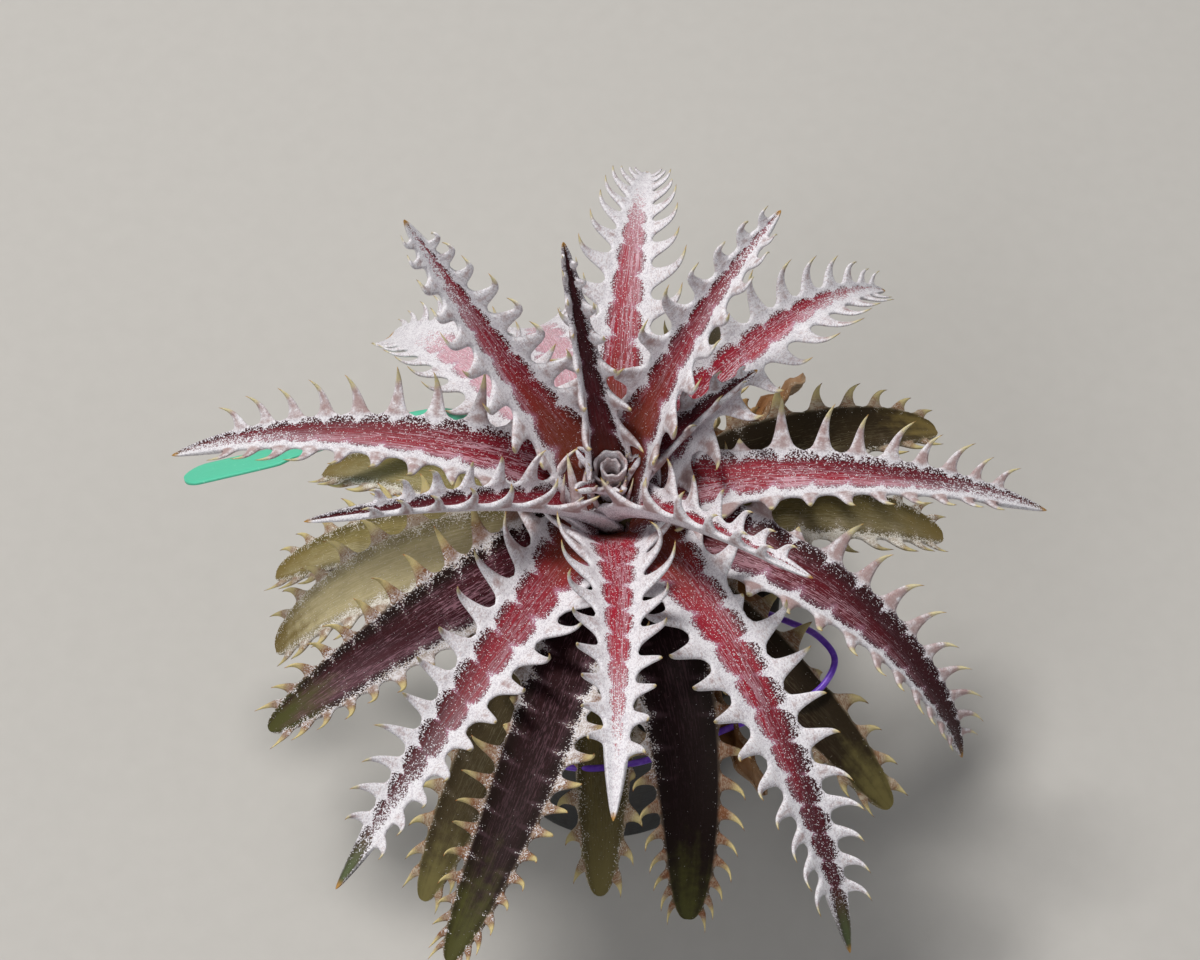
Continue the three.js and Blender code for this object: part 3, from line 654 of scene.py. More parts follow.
def spine_course(axes, sign, bend, curl, lean, height, hook=0.0, lift=0.0, fan=0.0):
    """A spine's middle line from its root, the direction of its width and the normal of
    its flat side, at even steps of its height. The line sets out at the fan's angle to
    the margin's normal, turns up by the curl and sweeps along the leaf by the lean, and
    its outer part bends along the leaf by the hook and upwards by the lift."""
    along, side, up = axes
    level = np.linspace(0, 1, SPINE_STEPS + 1)
    outer = smooth_step((level - 0.4) / 0.6)
    turn = (bend + curl * level + lift * outer)[:, None]
    outwards = sign * side * np.cos(turn) + up * np.sin(turn)
    flat = up * np.cos(turn) - sign * side * np.sin(turn)
    swing = (fan + np.arctan(2 * lean * level) + hook * outer)[:, None]
    course = outwards * np.cos(swing) + along * np.sin(swing)
    width = along * np.cos(swing) - outwards * np.sin(swing)
    strides = course * height * np.hypot(1, 2 * lean * level)[:, None]
    path = np.cumsum((strides[:-1] + strides[1:]) / 2, 0) / SPINE_STEPS
    return np.concatenate([np.zeros((1, 3)), path]), width, flat


def spine_lines(leaf, sign):
    """The courses of all the spines of one margin, and the leaf's direction at each. Each
    spine takes the first curl whose point lies on the solid's point; where none does, it
    is a stub."""
    edges, solid_bays = bays(leaf, sign)
    bend = math.radians(leaf.fold)
    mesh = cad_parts[leaf.name].data
    solid = np.empty(3 * len(mesh.vertices), np.float32)
    mesh.vertices.foreach_get("co", solid)
    solid = solid.reshape(-1, 3) / MM
    courses = []
    for k in range(1, len(edges)):
        centre = (edges[k - 1] + edges[k]) / 2
        part = centre / leaf.length
        height = leaf.spines * min(SPINE.most, SPINE.height * math.sqrt(1 - part)) \
            * (1 + SPINE.uneven * stray(leaf, k, sign, 1))
        lean = lerp(SPINE.backward, SPINE.forward, part) + SPINE.tilt * stray(leaf, k, sign, 2)
        axes = [axis[0] for axis in leaf.axes(np.array([centre]))]
        root = blade_skin(leaf, np.array([centre]), sign, 0.5)[0]
        curls = SPINE.curls
        if k < solid_bays and leaf.kind != "heart":
            points = [root + spine_course(axes, sign, bend, curl, lean, height)[0][-1]
                      for curl in curls]
            curls = [curl for curl, point in zip(curls, points)
                     if np.linalg.norm(solid - point, axis=1).min() < SPINE.near]
        height = max(height, leaf.comb) if curls else height * SPINE.stub
        height *= leaf.lower if sign * axes[1][1] < 0 else 1.0
        hook = leaf.hook * (1 + 1.4 * stray(leaf, k, sign, 5)) * (0.5 + part)
        lift = leaf.lift * (1 + stray(leaf, k, sign, 6))
        fan = SPINE.fan * smooth_step((part - 0.8) / 0.2) if leaf.comb else 0.0
        course = spine_course(axes, sign, bend, (curls or SPINE.curls)[0], lean, height,
                              hook - fan, lift, fan)
        courses.append((*course, axes[0]))
    return [np.array(tables) for tables in zip(*courses)]


def margin_columns(leaf, sign):
    """The columns of one margin: their lengths, which spine each belongs to, its offset
    from that spine's middle, and how high the spine's outline stands there."""
    edges, _ = bays(leaf, sign)
    shares = LEVELS[leaf.fine]
    stretches = [(np.linspace(0, edges[0], BASE_COLUMNS + 1)[:-1], 0, 0.0, 0.0)]
    for k, (start, end) in enumerate(zip(edges, edges[1:])):
        reach = flank(leaf, shares, end - start)
        offset = np.concatenate([-reach, reach[-2:0:-1]])
        stand = np.concatenate([shares, shares[-2:0:-1]])
        stretches.append(((end + start) / 2 + offset, k, offset, stand))
    tip = 1 - (1 - np.linspace(0, 0.97, TIP_COLUMNS)) ** 1.4
    stretches.append((edges[-1] + (leaf.length - edges[-1]) * tip, k, 0.0, 0.0))
    stretches = [np.broadcast_arrays(*stretch) for stretch in stretches]
    return [np.concatenate(parts) for parts in zip(*stretches)]


def margin_rows(leaf, sign, columns):
    """The skin of one margin with its spines, from the channel's corner round to the
    back's. A spine's section is an ellipse, and between spines the margin is round."""
    lengths, spine, offset, stand = columns
    paths, widths, flats, straight = spine_lines(leaf, sign)
    pitch = np.diff(bays(leaf, sign)[0])[spine][:, None]
    shares = LEVELS[leaf.fine]
    turn = np.concatenate([1 - shares[1:], shares[-2:0:-1] - 1])
    level = stand[:, None] * (1 - np.abs(turn))
    step = level * SPINE_STEPS
    low = np.minimum(step.astype(int), SPINE_STEPS - 1)
    owner = spine[:, None]
    path, width, flat = (lerp(course[owner, low], course[owner, low + 1],
                              (step - low)[..., None]) for course in (paths, widths, flats))
    turned = (width - straight[owner]) * smooth_step(level / 0.2)[..., None]
    reach = flank(leaf, level, pitch)
    inside = np.clip(np.abs(offset[:, None]) / np.maximum(reach, 1e-6), 0, 1)
    channel, root, back = (blade_skin(leaf, lengths, sign, depth) for depth in (0.0, 0.5, 1.0))
    margin = np.linalg.norm(channel - back, axis=-1)[:, None] / 2
    body = np.clip(0.11 * pitch, SPINE.thin, SPINE.thick) * (1 - level) ** 0.7
    thick = lerp(margin, body, smooth_step(level / 0.14))
    thick = np.sqrt(thick ** 2 * (1 - inside ** 2)
                    + (margin * inside * np.sin(np.abs(turn) * math.pi / 2)) ** 2)
    _, side, up = leaf.axes(lengths)
    bend = math.radians(leaf.fold)
    upwards = up * math.cos(bend) - sign * side * math.sin(bend)
    outwards = up * math.sin(bend) + sign * side * math.cos(bend)
    flat = np.where((stand == 0)[:, None, None], upwards[:, None], flat)
    bulge = 0.9 * margin * np.cos(turn * math.pi / 2) * (1 - smooth_step(level * 6))
    points = root[:, None] + path + turned * offset[:, None, None] \
        + outwards[:, None] * bulge[..., None] + flat * (thick * np.sign(turn))[..., None]
    return points, level, turn, inside


def marks(lengths, across, level=0.0, under=0.0, stand=0.0, inside=0.0, part=0.4):
    """Where points lie: how far along the leaf in millimetres, across it from -1 to 1 and
    beyond, up a spine, round to the back, in the height of the spine's outline there,
    inside that outline, and how far along the leaf as a part of it."""
    known = np.broadcast_arrays(lengths, across, level, under, stand, inside, part)
    return np.stack(known, -1)


def leaf_surface(leaf):
    """Points, faces and marks of one leaf. Each ring runs over the channel, round one
    margin, back under the blade and round the other margin, and a pole closes each end."""
    left, right = margin_columns(leaf, -1), margin_columns(leaf, 1)

    def blade(across, depth):
        """One face of the blade, whose columns slant from one margin's to the other's."""
        lengths = lerp(left[0][:, None], right[0][:, None], (across + 1) / 2)
        stand = np.where(across < 0, left[3][:, None], right[3][:, None])
        return (blade_skin(leaf, lengths, across, depth),
                marks(lengths, across, 0.0, depth, stand, 0.0, lengths / leaf.length))

    def margin(sign, columns):
        """One margin with its spines, which counts as across 1 and beyond."""
        points, level, turn, inside = margin_rows(leaf, sign, columns)
        lengths, stand = columns[0][:, None], columns[3][:, None]
        return points, marks(lengths, sign * (1 + level), level, (1 - turn) / 2, stand,
                             inside, lengths / leaf.length)

    parts = [blade(np.linspace(-1, 1, TOP_ROWS), 0.0), margin(1, right),
             blade(np.linspace(1, -1, BACK_ROWS), 1.0),
             [item[:, ::-1] for item in margin(-1, left)]]
    rings, marked = (np.concatenate(part, 1) for part in zip(*parts))
    poles = [rings[0].mean(0), leaf.at(np.array([leaf.length]))[0]]
    return *closed_skin(rings, poles, clockwise=True), \
        with_poles(marked, marked[[0, -1]].mean(1))


def attributes(leaf, marked):
    """The attributes that a leaf's finish reads."""
    lengths, across, level, under, stand, inside, part = marked.T
    # lower is 1 on the half of the blade that faces the front and -1 on the far half; the finish
    # paints light and shade with it: the front half paler, the far half darker.
    lower = -across * math.cos(math.radians(leaf.bearing))
    threes = {"grain": (lengths, across * leaf.width / 2 + 0.5 * leaf.seed, lower),
              "form": (part, np.abs(across), level),
              "edge": (under, stand, inside),
              "look": (leaf.amber, leaf.dark, leaf.streak),
              "more": (leaf.pale, leaf.green, leaf.tan),
              "tone": (leaf.lilac, leaf.sombre, 1.0)}
    return {key: np.stack([value + 0 * part for value in three], -1)
            for key, three in threes.items()}


def make_leaf(leaf):
    """One leaf. Two dark leaves are as pale as the red ones, and have their finish."""
    points, faces, marked = leaf_surface(leaf)
    slot = "red_leaf" if leaf.name in PINKER else leaf.slot
    dress(slot, [leaf.name], points, faces, attributes(leaf, marked))


def whorl_surface():
    """One rolled leaf: a sheet that winds outwards while it rises, with a wall's
    thickness and a lip that flares at the top."""
    turn = np.linspace(0, 2 * np.pi * WHORL.turns, WHORL.columns)[:, None]
    share = turn / turn[-1]
    rise = 1 - (1 - np.linspace(0, 1, WHORL.rows)) ** 1.6
    radius = lerp(WHORL.inner, WHORL.outer, share) + WHORL.lip * rise ** 3
    height = lerp(WHORL.base, WHORL.top - 0.9 * (1 - share) ** 2, rise) \
        + 0.25 * np.sin(7 * turn) * rise ** 4
    half = WHORL.wall * (1 - 0.2 * rise) / 2
    inner, outer = (polar(radius + side * half, turn, CROWN + height) for side in (-1, 1))
    rings = np.concatenate([inner, outer[:, ::-1]], 1)
    level = 0.4 * smooth_step((rise - 0.6) / 0.2) + 0 * turn
    last = turn > turn[-1] - 2 * np.pi
    level = np.concatenate([level, np.maximum(level[:, ::-1], 0.3 * last)], 1)
    # Low on the sheet across stays small, so no scurf grows and the dark look paints the inside
    # of the roll near black: painted shade between the turns.
    marked = marks(14.0, 0.35 + 1.8 * level, level, stand=level / 0.4)
    return *closed_skin(rings, rings[[0, -1]].mean(1)), with_poles(marked, marked[[0, -1], 0])


def arch_surface(foot, middle, point, radius):
    """A slender spine on a parabola through its foot and point, drawn towards its middle,
    that narrows to nothing."""
    steps, sides = 26, 12
    share = np.linspace(0, 1, steps)[:, None]
    foot, middle, point = (np.array(place) + (0, 0, CROWN) for place in (foot, middle, point))
    points = foot * (1 - share) ** 2 + 2 * middle * share * (1 - share) + point * share ** 2
    along = unit(np.gradient(points, axis=0))
    share = share[:, 0]
    skin = tube(points, along, radius * (1 - share) ** 0.8 + 0.02, sides,
                np.cross(along, (0.3, -0.5, 0.8)))
    level = 0.3 + 0.6 * np.append(np.repeat(share, sides), (0, 1))
    return *skin, marks(20.0, 1.0 + level, level)


def make_heart():
    """The small leaves of the heart, the whorl between them and the spines over it."""
    leaves = [Leaf("bud", "heart", i, (bearing, 4, rise, 30, 0, length, width, 55, 0))
              for i, (bearing, length, width, rise) in enumerate(HEART)]
    surfaces = [(leaf, *leaf_surface(leaf)) for leaf in leaves]
    surfaces += [(WHORL, *whorl_surface())]
    surfaces += [(leaves[1], *arch_surface(*arch)) for arch in ARCHES]
    points, faces, fields, first = [], [], [], 0
    for leaf, corners, blocks, marked in surfaces:
        faces += [block + first for block in blocks]
        first += len(corners)
        points.append(corners)
        fields.append(attributes(leaf, marked))
    fields = {key: np.concatenate([field[key] for field in fields]) for key in fields[0]}
    dress("red_leaf", ["bud"], np.concatenate(points), faces, fields)


# ---- Pot, substrate, stem, label and wire ---------------------------------------------


def pot_radius(height):
    """The radius of the pot's outside, which widens evenly with its height."""
    return lerp(POT.base, POT.rim - POT.step, height / POT.height)


def make_pot():
    """The wall is a turned profile with rounded edges, from the rim of the underside up
    the outside, over the lip and down the inside. The floor is cut in one sector for
    each drain hole: rings run from the hole's circle out to the sector's outline."""
    lip, top, curve, wall = POT.height - POT.lip, POT.height, POT.round, POT.wall
    under, inner = POT.base - curve, pot_radius(POT.floor) - wall
    rim, mouth, shelf = POT.rim, pot_radius(top) - wall, lip + POT.slope
    climb = np.linspace(2, lip - 0.4, 40)
    ribs = sum(0.12 * np.exp(-((climb - rib) / 0.5) ** 2) for rib in POT.ribs)
    descend = np.linspace(top - 2, POT.floor + 0.4, 12)
    profile = [(under, 0), (under + 0.35, 0.12), (pot_radius(0.5), curve),
               *zip(pot_radius(climb) + ribs, climb),
               (pot_radius(lip) + 0.15, lip), (rim - 0.6, shelf - 0.1),
               (rim - 0.1, shelf + 0.1), (rim, shelf + 0.5), (rim, top - curve),
               (rim - 0.15, top - 0.15), (rim - curve, top), (mouth + curve, top),
               (mouth + 0.15, top - 0.15), (mouth - 0.02, top - curve),
               *zip(pot_radius(descend) - wall, descend), (inner, POT.floor)]
    radius, height = np.array(profile).T[..., None]
    count, arc = DRAIN.count, POT.sides
    points = [polar(radius, circle(count * arc), height).reshape(-1, 3)]
    blocks = [grid_faces(len(profile), count * arc, turned=True)]
    half = math.pi / count
    edge = np.linspace(1, 0, arc // 2 + 1)[1:]
    distance = np.concatenate([np.ones(arc + 1), edge, edge[-2::-1]])
    angle = np.concatenate([np.linspace(-half, half, arc + 1), np.full(len(edge), half),
                            np.full(len(edge) - 1, -half)])
    spread = (np.linspace(0, 1, 5) ** 1.5)[:, None, None]
    floor = (0, 0, POT.floor)
    for sector in range(count):
        middle = 2 * half * sector + half
        outline, centre = polar(distance, angle + middle), polar(DRAIN.ring, middle)
        hole = centre + DRAIN.radius * unit(outline * inner - centre)
        for rows, turned in ((lerp(hole, outline * inner, spread) + floor, False),
                             (lerp(hole, outline * under, spread), True),
                             (np.stack([hole, hole + floor]), False)):
            blocks.append(grid_faces(len(rows), len(hole), turned) + sum(map(len, points)))
            points.append(rows.reshape(-1, 3))
    dress("pot", ["pot"], *weld(np.concatenate(points), blocks))


def make_substrate():
    """A body that fills the pot, whose top is a heap of grains: at each point the height
    is that of the grain whose dome stands highest there, on centres strewn by a golden
    angle. Each grain's number colours it."""
    index = np.arange(SOIL.grains)
    rim = pot_radius(SOIL.top) - POT.wall - SOIL.gap
    far = rim * np.sqrt((index + 0.5) / len(index)) + 0.5 * (hashed(index) - 0.5)
    angle = index * math.pi * (3 - math.sqrt(5)) + 0.2 * hashed(index + 5000)
    size = lerp(SOIL.least, SOIL.most, hashed(index + 9000) ** 2)
    turn = circle(SOIL.sides)
    top = polar(rim * np.linspace(1, 0, SOIL.rings)[:-1, None], turn, SOIL.top)
    centres = polar(far, angle)
    x, y = (top[..., None, k] - centres[:, k] for k in (0, 1))
    gap = np.hypot(x, y) * (1 + 0.25 * np.sin(3 * np.arctan2(y, x) + 6 * hashed(index + 70)))
    dome = np.sqrt(np.clip(1 - (gap / size) ** 2, 0, 1)) * size * (0.5 + 0.5 * hashed(index))
    relief = SOIL.relief * (dome.max(-1) / 1.6 - 0.5)
    relief[0] = np.minimum(relief[0], 0)
    top[..., 2] += relief
    low = POT.floor + SOIL.gap
    height = lerp(SOIL.top, low, np.linspace(0, 1, 12)[:0:-1, None])
    side = polar(pot_radius(height) - POT.wall - SOIL.gap, turn, height)
    rows = np.concatenate([side, top])
    pebble = np.zeros_like(rows)
    pebble[len(side):, :, 0] = hashed(dome.argmax(-1) + 300)
    # The second number is the top's relief, by which the finish paints the low gaps between
    # grains darker, as painted shade.
    pebble[len(side):, :, 1] = relief
    dress("substrate", ["substrate"], *closed_skin(rows, [(0, 0, low), (0, 0, SOIL.top)]),
          {"pebble": with_poles(pebble)})


def make_stem():
    """A turned stem with rings of old leaf scars: its radius is cut back in a band under
    each scar, and the scars wind round it."""
    height = np.linspace(STEM.foot, STEM.top, 150)[:, None]
    turn = circle(STEM.sides)
    body = np.interp(height, [STEM.foot, STEM.taper_top, STEM.shoulder, STEM.top],
                     [STEM.foot_radius, STEM.radius, STEM.radius, STEM.top_radius])
    phase = height / STEM.scar_pitch + turn * 3 / (2 * np.pi)
    tooth = phase - np.floor(phase)
    scars = -STEM.scar_depth * (1 - tooth) ** 3 - 0.1 * np.sin(17 * turn + height) ** 2
    radius = body + scars * (body > 3) - 0.02
    ends = [(0, 0, STEM.foot), (0, 0, STEM.top)]
    dress("stem", ["stem"], *closed_skin(polar(radius, turn, height), ends))


def make_label():
    """A blank strip on its route, with rounded edges. Its section is a rounded oblong, and
    the half width follows a circle at the head's end."""
    points, along, walked = route_curve(LABEL_ROUTE, 400)
    length, end = walked[-1], LABEL.end
    keep = np.concatenate([np.linspace(0, length - end, 70)[:-1],
                           length - end * (1 - np.linspace(0, 1, 30)) ** 2])
    points, along = between(keep, walked, points), unit(between(keep, walked, along))
    side = unit(np.cross([0, 0, 1], along))
    roll = math.radians(LABEL.roll)
    side = side * math.cos(roll) + np.cross(along, side) * math.sin(roll)
    face = np.cross(along, side)
    left = length - keep
    shoulder = smooth_step((LABEL.head_length - left) / LABEL.shoulder)
    inside = np.clip(1 - left / (LABEL.head / 2), 0, 1)
    half = lerp(LABEL.neck, LABEL.head, shoulder) / 2 \
        * np.maximum(np.sqrt(1 - inside ** 2), 0.02)
    turn = circle(LABEL.sides)
    cosine, sine = np.cos(turn), np.sin(turn)
    across = half[:, None] * np.sign(cosine) * np.abs(cosine) ** 0.35
    thick = np.sign(sine) * np.abs(sine) ** 0.45 * LABEL.thickness / 2
    rows = points[:, None] + side[:, None] * across[..., None] \
        + face[:, None] * thick[:, None]
    strip = np.stack(np.broadcast_arrays(keep[:, None], across, 0.0), -1)
    dress("label", ["label"], *closed_skin(rows, points[[0, -1]]),
          {"strip": with_poles(strip)})


def make_wire():
    """A round coated wire on its route."""
    points, along, _ = route_curve(WIRE_ROUTE, WIRE.steps)
    middle = points.mean(0) * (1, 1, 0) + (0, 0, CROWN - 60)
    skin = tube(points, along, WIRE.diameter / 2, WIRE.sides, unit(points - middle))
    dress("wire", ["tie_wire"], *skin)


# ---- Finishes -------------------------------------------------------------------------

# A leaf's finish: how far wear takes the scurf off its spines, the share of a spine at
# which its horn starts, how densely scurf covers it, how dark the bays' rims are, how many
# single scales lie in the channel, the skin's roughness and its shine, then its colours.
SCALES, CLOUDS = 5200.0, 520.0      # how many white scales, and cloudy spots, to a metre
LEAF_SLOTS = ("red_leaf", "dark_leaf", "old_leaf", "dry_leaf")
LEAF_FINISHES = {
    "wear": (0.0, 0.8, 0.75, 0.6),
    "horn_from": (0.8, 0.5, 0.5, 0.5),
    "cover": (1.0, 0.95, 0.7, 0.3),
    "rim": (0.8, 0.9, 0.45, 0.6),
    "dots": (0.22, 0.12, 0.15, 0.06),
    "gloss": (0.52, 0.6, 0.6, 0.75),
    "shine": (0.25, 0.15, 0.2, 0.15),
    "channel": ("A50D28", "4A0C1A", "9A8C56", "B07C4A"),
    "deep": ("6A0919", "26060C", "706636", "7A4E2C"),
    "shade": ("120304", "0B0403", "2E1A11", "40281A"),
    "amber": ("74361A", "54280F", "7A5A30", "6A4426"),
    "streaks": ("E0AEBB", "A87886", "BDB28C", "CFA878"),
    "veil": ("DCC0CA", "9A7480", "D2C49C", "B09068"),
    "sombre": ("2C080C", "190C07", "2C2210", "6A4426"),
    "tip": ("6E4A28", "47461E", "7E6C3C", "A08062"),
    "haze": ("B987A0", "7A5C66", "A39480", "8E755C"),
    "scurf": ("F3F1F5", "ECE9EC", "ECE8E0", "CFC2B0"),
    "film": ("CAC4CC", "A89480", "BEB09A", "A8937A"),
    "thorn": ("A4807A", "7E5034", "8E684A", "6E4C30"),
    "back": ("8D838C", "7C7266", "9A9068", "7A5C40"),
    "horn": ("D8CB92", "DCCB8C", "D2C284", "A07A48"),
    "point": ("B88A48", "A8602A", "9C5C28", "6E4424"),
}


def leaf_finish(name, wear, horn_from, cover, rim, dots, gloss, shine, **tones):
    """The skin of a leaf. The channel runs from amber at the seat through its colour to
    dark at the tip, with pale lengthwise streaks; at the bays the skin is nearly black.
    Scurf is a layer of round white scales: each cell of a cell pattern bears a scale when
    its own number is below the cover there, and scales grow until they close up. The cover
    is whole on the spines and under each spine's foot, and thin at the bays, and wear
    takes it off towards the tip. The spines end in horn with a darker point."""
    paint = Paint(name, tones)
    mix, rise = paint.mix, paint.rise
    # lower marks the half of the blade that faces the front; below it paints light and shade: the
    # front half paler, pinker and whiter, the far half darker.
    length, lateral, lower = paint.attribute("grain")
    part, across, level = paint.attribute("form")
    under, stand, inside = paint.attribute("edge")
    reach, dark, streak = paint.attribute("look")
    pale, green, tan = paint.attribute("more")
    lilac, sombre, _ = paint.attribute("tone")
    place = paint.place()

    broad = paint.drawn(length * 0.06, lateral * 0.3, 0.0)
    fibres = paint.drawn(length * 0.16, lateral * 3.0, 0.0, 3.0, 0.6)
    dashes = paint.drawn(length * 0.75, lateral * 4.2, 0.0, 2.0, 0.6)
    lanes = paint.drawn(length * 1.2, lateral * 2.6, 0.0, 2.0, 0.7)
    rings = paint.drawn(level * 26.0, inside * 2.0, length * 0.4, 2.0, 0.7)
    crumbs = paint.noise(place, SCALES, 2.0, 0.6)
    clouds = paint.noise(place, CLOUDS, 3.0, 0.6)
    wide, spots = broad - 0.5, clouds - 0.5
    far = paint.cells(place, SCALES)
    chance, glint, _ = paint.apart(paint.cells(place, SCALES, output=1))
    spine = rise(level, 0.0, 0.12)
    stand = rise(stand, 0.0, 1.0)

    # The channel's own colour, along and across the leaf.
    colour = mix(rise(fibres + 0.5 * broad, 0.6, 0.9) * 0.8, "channel", "deep")
    whole = rise(lilac, 0.9, 1.4)
    # The veil is a lilac frosting of the channel and, through lower, partly a painted sheen on
    # the half of the blade that faces the front.
    veil = rise(part + 0.35 * wide + 0.8 * (fibres - 0.5) + 0.5 * lower + 2.2 * whole,
                0.42, 0.95)
    thin = rise(fibres * 0.6 + dashes * 0.4, 0.42, 0.62, 0.55, 1.0)
    colour = mix(veil * lilac * 0.88 * thin, colour, "veil")
    colour = mix(dark * 0.9, colour, "shade")
    near = rise(length / reach + 0.5 * wide + 0.25 * across, 1.2, 0.45)
    colour = mix(near * (1 - 0.7 * dark), colour, "amber")
    # Through lower the streaks are a little stronger on the front half: partly painted light.
    lines = rise(dashes * 0.5 + fibres * 0.55 + 0.3 * broad + 0.07 * lower, 0.68, 0.76)
    lines = lines * streak * (1 - 0.85 * near) * rise(across, 0.95, 0.5)
    colour = mix(lines * 0.75, colour, "streaks")
    # The outer part turns sombre; through lower it is darker on the far half of the blade:
    # painted shade.
    late = rise(part + 0.3 * wide - 0.3 * lower, 0.38, 0.74)
    colour = mix(late * sombre * 0.85, colour, "sombre")
    colour = mix(rise(crumbs, 0.45, 0.7) * (0.12 - 0.09 * dark), colour, "haze")
    if wear:
        end = rise(part + 0.25 * spots + 0.3 * wide, 0.74, 1.0)
    else:
        end = rise(part, 0.84, 0.96) * green + rise(part, 0.94, 0.99) * (1 - green)
    colour = mix(end, colour, mix(green, "tip", "56603E"))

    # How much scurf there is at a point, and what shows between its scales.
    # Through lower the scurf covers the front half of the blade more and wear takes less of it
    # there: the front half is painted whiter, painted light, and the far half greyer.
    edge = across * 0.75 + 0.28 * stand + 0.14 * pale * rise(part, 0.1, 0.35) \
        + 0.12 * lower + 0.3 * spots + 0.2 * wide \
        - (1 - stand) * (0.06 + 0.42 * sombre * late) + 0.2 * rise(across, 0.84, 1.0)
    bare = 1 - ((1.1 - 0.25 * pale) * wear + 0.6 * sombre * (1 - pale) * (1 - wear)) \
        * rise(part + 0.3 * spots - 0.2 * lower, 0.15, 0.65)
    # Spines carry less scurf on their undersides: partly painted shade.
    full = rise(edge, 0.52, 1.18) + 0.9 * spine * (1 - under * 0.3)
    full = full + 0.7 * veil * lilac * (1 - wear) * rise(part, 0.55, 0.9)
    full = full * bare * (1 - 0.9 * end * green)
    # Wear of the scurf, less on the front half of pale leaves through lower: the far half is
    # painted greyer, painted shade.
    wear_and_shade = (wear + 0.5 * tan * (1 - wear)) * (1 - 0.6 * pale * rise(lower, 0.0, 0.2))
    full = full - wear_and_shade * 0.98 * rise(level + 0.3 * spots, 0.08, 0.6)
    full = full * cover * rise(level + 0.2 * tan, horn_from + 0.12, horn_from - 0.12)
    full = full * rise(length, 0.0, 6.0) \
        + dots * (1.1 - 0.7 * dark) * (1 - 0.8 * end * green) * (1 - 0.35 * wear * late) \
        * (1 - 0.4 * near) * (1 + 1.3 * rise(across, 0.5, 0.9))
    black = rise(across + 0.3 * spots, 0.5, 0.9) * (1 - 0.35 * stand)
    skin = mix(black * (1 - 0.7 * end) * rim, colour, "sombre")
    # The haze is stronger on the front half through lower: partly painted light.
    haze = rise(edge + 0.25 * lower, 0.45, 0.85) * (0.25 + 0.75 * stand) * bare
    skin = mix(haze * (1 - end) * (0.5 + 0.25 * pale) * cover, skin, "haze")
    skin = mix(spine, skin, mix(rise(clouds * 0.4 + rings * 0.6, 0.4, 0.62), "thorn", "film"))
    back = mix(rise(fibres, 0.4, 0.6), "back", "film")
    skin = mix(under * (1 - spine) * 0.9, skin, back)
    full = full + 0.35 * under * (1 - spine) * cover

    # The scales themselves, in broken rows where they are thin.
    chance = 0.78 * chance + 0.22 * rise(lanes, 0.68, 0.32)
    scale = rise(full * 1.12 - chance, -0.03, 0.05) \
        * rise(far - (0.32 + 0.85 * full), 0.02, -0.14)
    white = mix(rise(glint * 0.55 + clouds * 0.6, 0.4, 1.0), "scurf", "film")
    # Spines turn tan at random, by their own tan and near the seat, and on their undersides,
    # where the tan is painted shade.
    tan_and_shade = rise(clouds + 0.25 * under - 0.25 * inside + 0.35 * tan
                 + 0.2 * rise(length, 28.0, 10.0), 0.5, 0.85)
    white = mix(spine * tan_and_shade * 0.8, white, "thorn")
    white = mix(spine * rise(rings, 0.5, 0.66) * 0.4, white, "thorn")
    skin = mix(scale * 0.97, skin, white)

    # Horn at the spines' ends.
    horn = mix(rise(crumbs, 0.35, 0.65) * 0.4, "horn", "film")
    ends = rise(level + 0.12 * spots + 0.2 * tan, horn_from - 0.08, horn_from + 0.1 + 0.25 * wear)
    skin = mix(ends, skin, horn)
    skin = mix(rise(level, 0.86, 0.99), skin, "point")
    if not wear:
        skin = mix(rise(part, 0.975, 0.995), skin, "point")

    rough = gloss + (0.92 - gloss) * scale
    relief = 0.35 * fibres + scale * (0.9 - 0.8 * far) + 0.2 * crumbs
    return paint.finish(skin, rough, (relief, 0.6, 0.00016), shine)


def pot_finish(paint):
    """Black moulded plastic: fine stipple, scuffs, and pale dust that has run down."""
    place = paint.place()
    x, y, z = paint.apart(place)
    stipple = paint.noise(place, 2600.0)
    scuffs = paint.drawn(x * 260.0, y * 260.0, z * 1500.0, 4.0, 0.6)
    runs = paint.drawn(x * 420.0, y * 420.0, z * 45.0, 3.0)
    dust = paint.rise(runs * 0.7 + scuffs * 0.3 + z * 3.0, 0.5, 0.78)
    colour = paint.mix(stipple, "17181A", "212326")
    colour = paint.mix(dust * 0.35, colour, "6E6A62")
    colour = paint.mix(paint.rise(scuffs, 0.66, 0.72) * 0.5, colour, "4A4B4D")
    return colour, 0.38 + 0.4 * dust + 0.1 * scuffs, (stipple + 0.6 * scuffs, 0.35, 0.00012)


def substrate_finish(paint):
    """Grit: each grain is pumice, grey stone or dark bark by its number."""
    number, height, _ = paint.attribute("pebble")
    pores = paint.noise(paint.place(), 2200.0, 4.0, 0.65)
    grains = paint.node("ShaderNodeValToRGB", {"stops": [
        (0.0, "B9AE9C"), (0.3, "8F8576"), (0.5, "6A5E50"), (0.7, "C9C2B4"),
        (0.85, "4A3826"), (1.0, "2E2620")]}, {0: number})
    colour = paint.mix(paint.rise(pores, 0.55, 0.35) * 0.55, grains, "3A3128")
    # Where the top lies low between grains it is darker: painted shade in the gaps.
    colour = paint.mix(paint.rise(height, 0.0, -0.4) * 0.8, colour, "1E1A16")
    return colour, 0.88 + 0.08 * pores, (pores, 0.8, 0.0004)


def stem_finish(paint):
    """Old stem: fibrous brown bark, greener and paler under the crown."""
    x, y, z = paint.apart(paint.place())
    fibres = paint.drawn(x * 900.0, y * 900.0, z * 90.0, 4.0, 0.6)
    rings = paint.drawn(x * 60.0, y * 60.0, z * 900.0)
    colour = paint.mix(fibres, "3B2A1C", "7A6344")
    colour = paint.mix(paint.rise(rings, 0.5, 0.7) * 0.5, colour, "2A1D14")
    colour = paint.mix(paint.rise(z, 0.074, 0.088) * 0.7, colour, "4E4A24")
    return colour, 0.75 + 0.15 * fibres, (fibres + rings, 0.8, 0.0003)


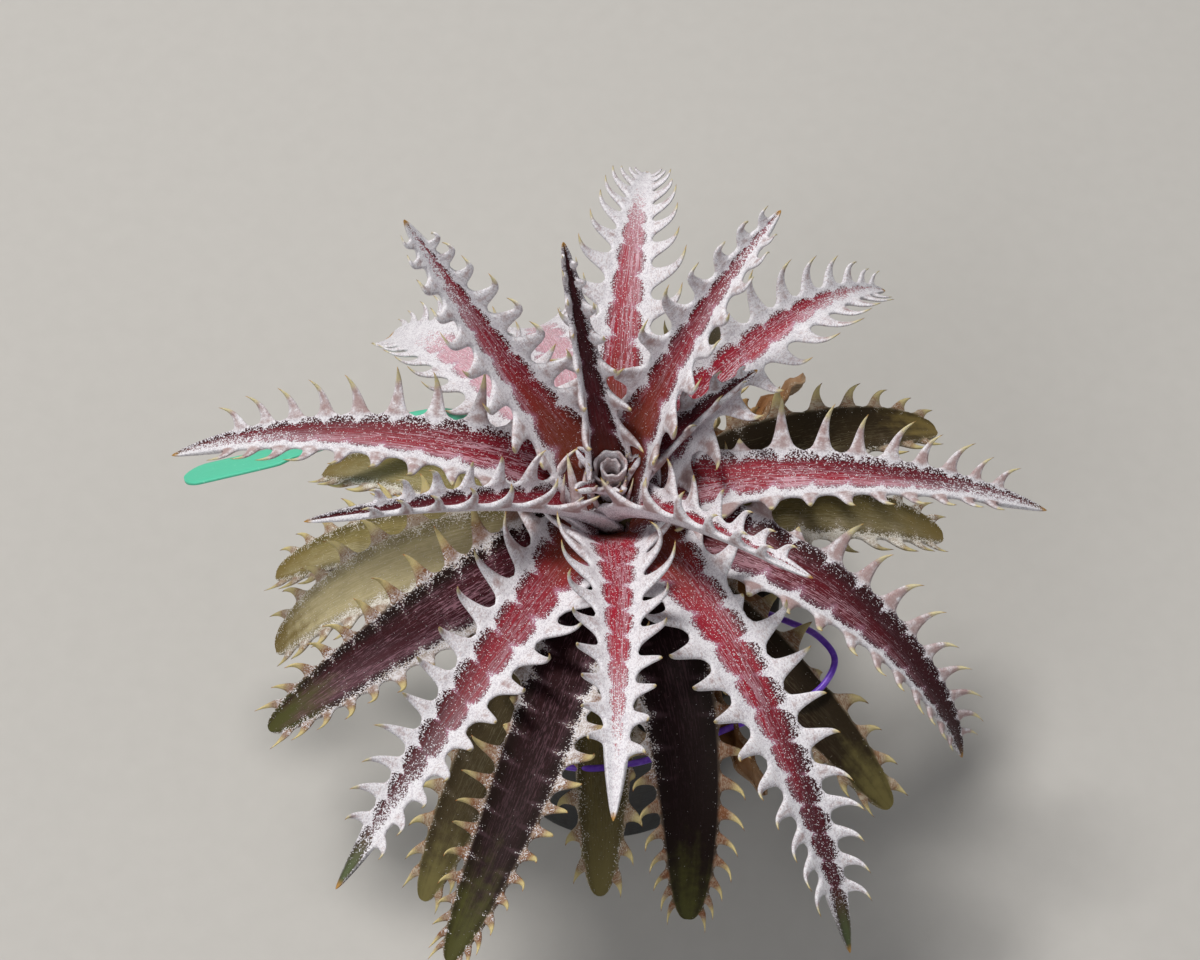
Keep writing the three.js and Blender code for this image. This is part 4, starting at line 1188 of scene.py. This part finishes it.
def label_finish(paint):
    """Teal plastic, blank: faint lengthwise grain, rubs, and grime towards its foot."""
    run, across, _ = paint.attribute("strip")
    grain = paint.drawn(run * 0.15, across * 6.0, 0.0, 3.0)
    rubs = paint.drawn(run * 1.2, across * 1.4, 4.0, 4.0, 0.65)
    colour = paint.mix(grain * 0.6 + rubs * 0.4, "46C69C", "6CDCBA")
    colour = paint.mix(paint.rise(run + 14.0 * rubs, 34.0, 6.0) * 0.75, colour, "5C5A44")
    colour = paint.mix(paint.rise(rubs, 0.62, 0.7) * 0.35, colour, "BFEFE0")
    return colour, 0.34 + 0.25 * rubs, (grain, 0.2, 0.0001)


def wire_finish(paint):
    """Violet plastic coating, glossy, with small marks."""
    spots = paint.noise(paint.place(), 800.0, 4.0, 0.6)
    colour = paint.mix(paint.rise(spots, 0.4, 0.7), "7240D2", "9264E8")
    colour = paint.mix(paint.rise(spots, 0.68, 0.76) * 0.4, colour, "A59AB8")
    return colour, 0.22 + 0.3 * spots, (spots, 0.15, 0.0001)


def floor_finish(paint):
    """A pale painted board with a barely visible tooth."""
    return paint.mix(paint.noise(paint.place(), 240.0, 3.0), "C2BFBA", "C8C5C0"), 0.8


finishes = {slot: leaf_finish(slot, **{key: row[i] for key, row in LEAF_FINISHES.items()})
            for i, slot in enumerate(LEAF_SLOTS)}
for recipe in (pot_finish, substrate_finish, stem_finish, label_finish, wire_finish,
               floor_finish):
    slot = recipe.__name__.removesuffix("_finish")
    paint = Paint(slot)
    finishes[slot] = paint.finish(*recipe(paint))

# ---- The scene ------------------------------------------------------------------------

make_camera()
rows = [(kind, i, row) for kind, rows in LEAVES.items() for i, row in enumerate(rows, 1)]
for place, (kind, i, row) in enumerate(rows):
    name = f"dry_leaf_{i:02d}" if kind == "dry" else f"leaf_{place + 1:02d}"
    make_leaf(Leaf(name, kind, 100 * place, row))
make_heart()
make_pot()
make_substrate()
make_stem()
make_label()
make_wire()

corners = [(x * FLOOR, y * FLOOR, 0) for x, y in ((-1, -1), (1, -1), (1, 1), (-1, 1))]
floor = make_piece("floor", corners, [np.arange(4)[None]])
floor.data.materials.append(finishes["floor"])

world = bpy.data.worlds.new("studio")
world.use_nodes = True
background = world.node_tree.nodes["Background"].inputs
background["Color"].default_value = SKY.colour
background["Strength"].default_value = SKY.strength
bpy.context.scene.world = world
for light in LIGHTS:
    make_light(*light)
bpy.context.scene.view_settings.view_transform = "Standard"
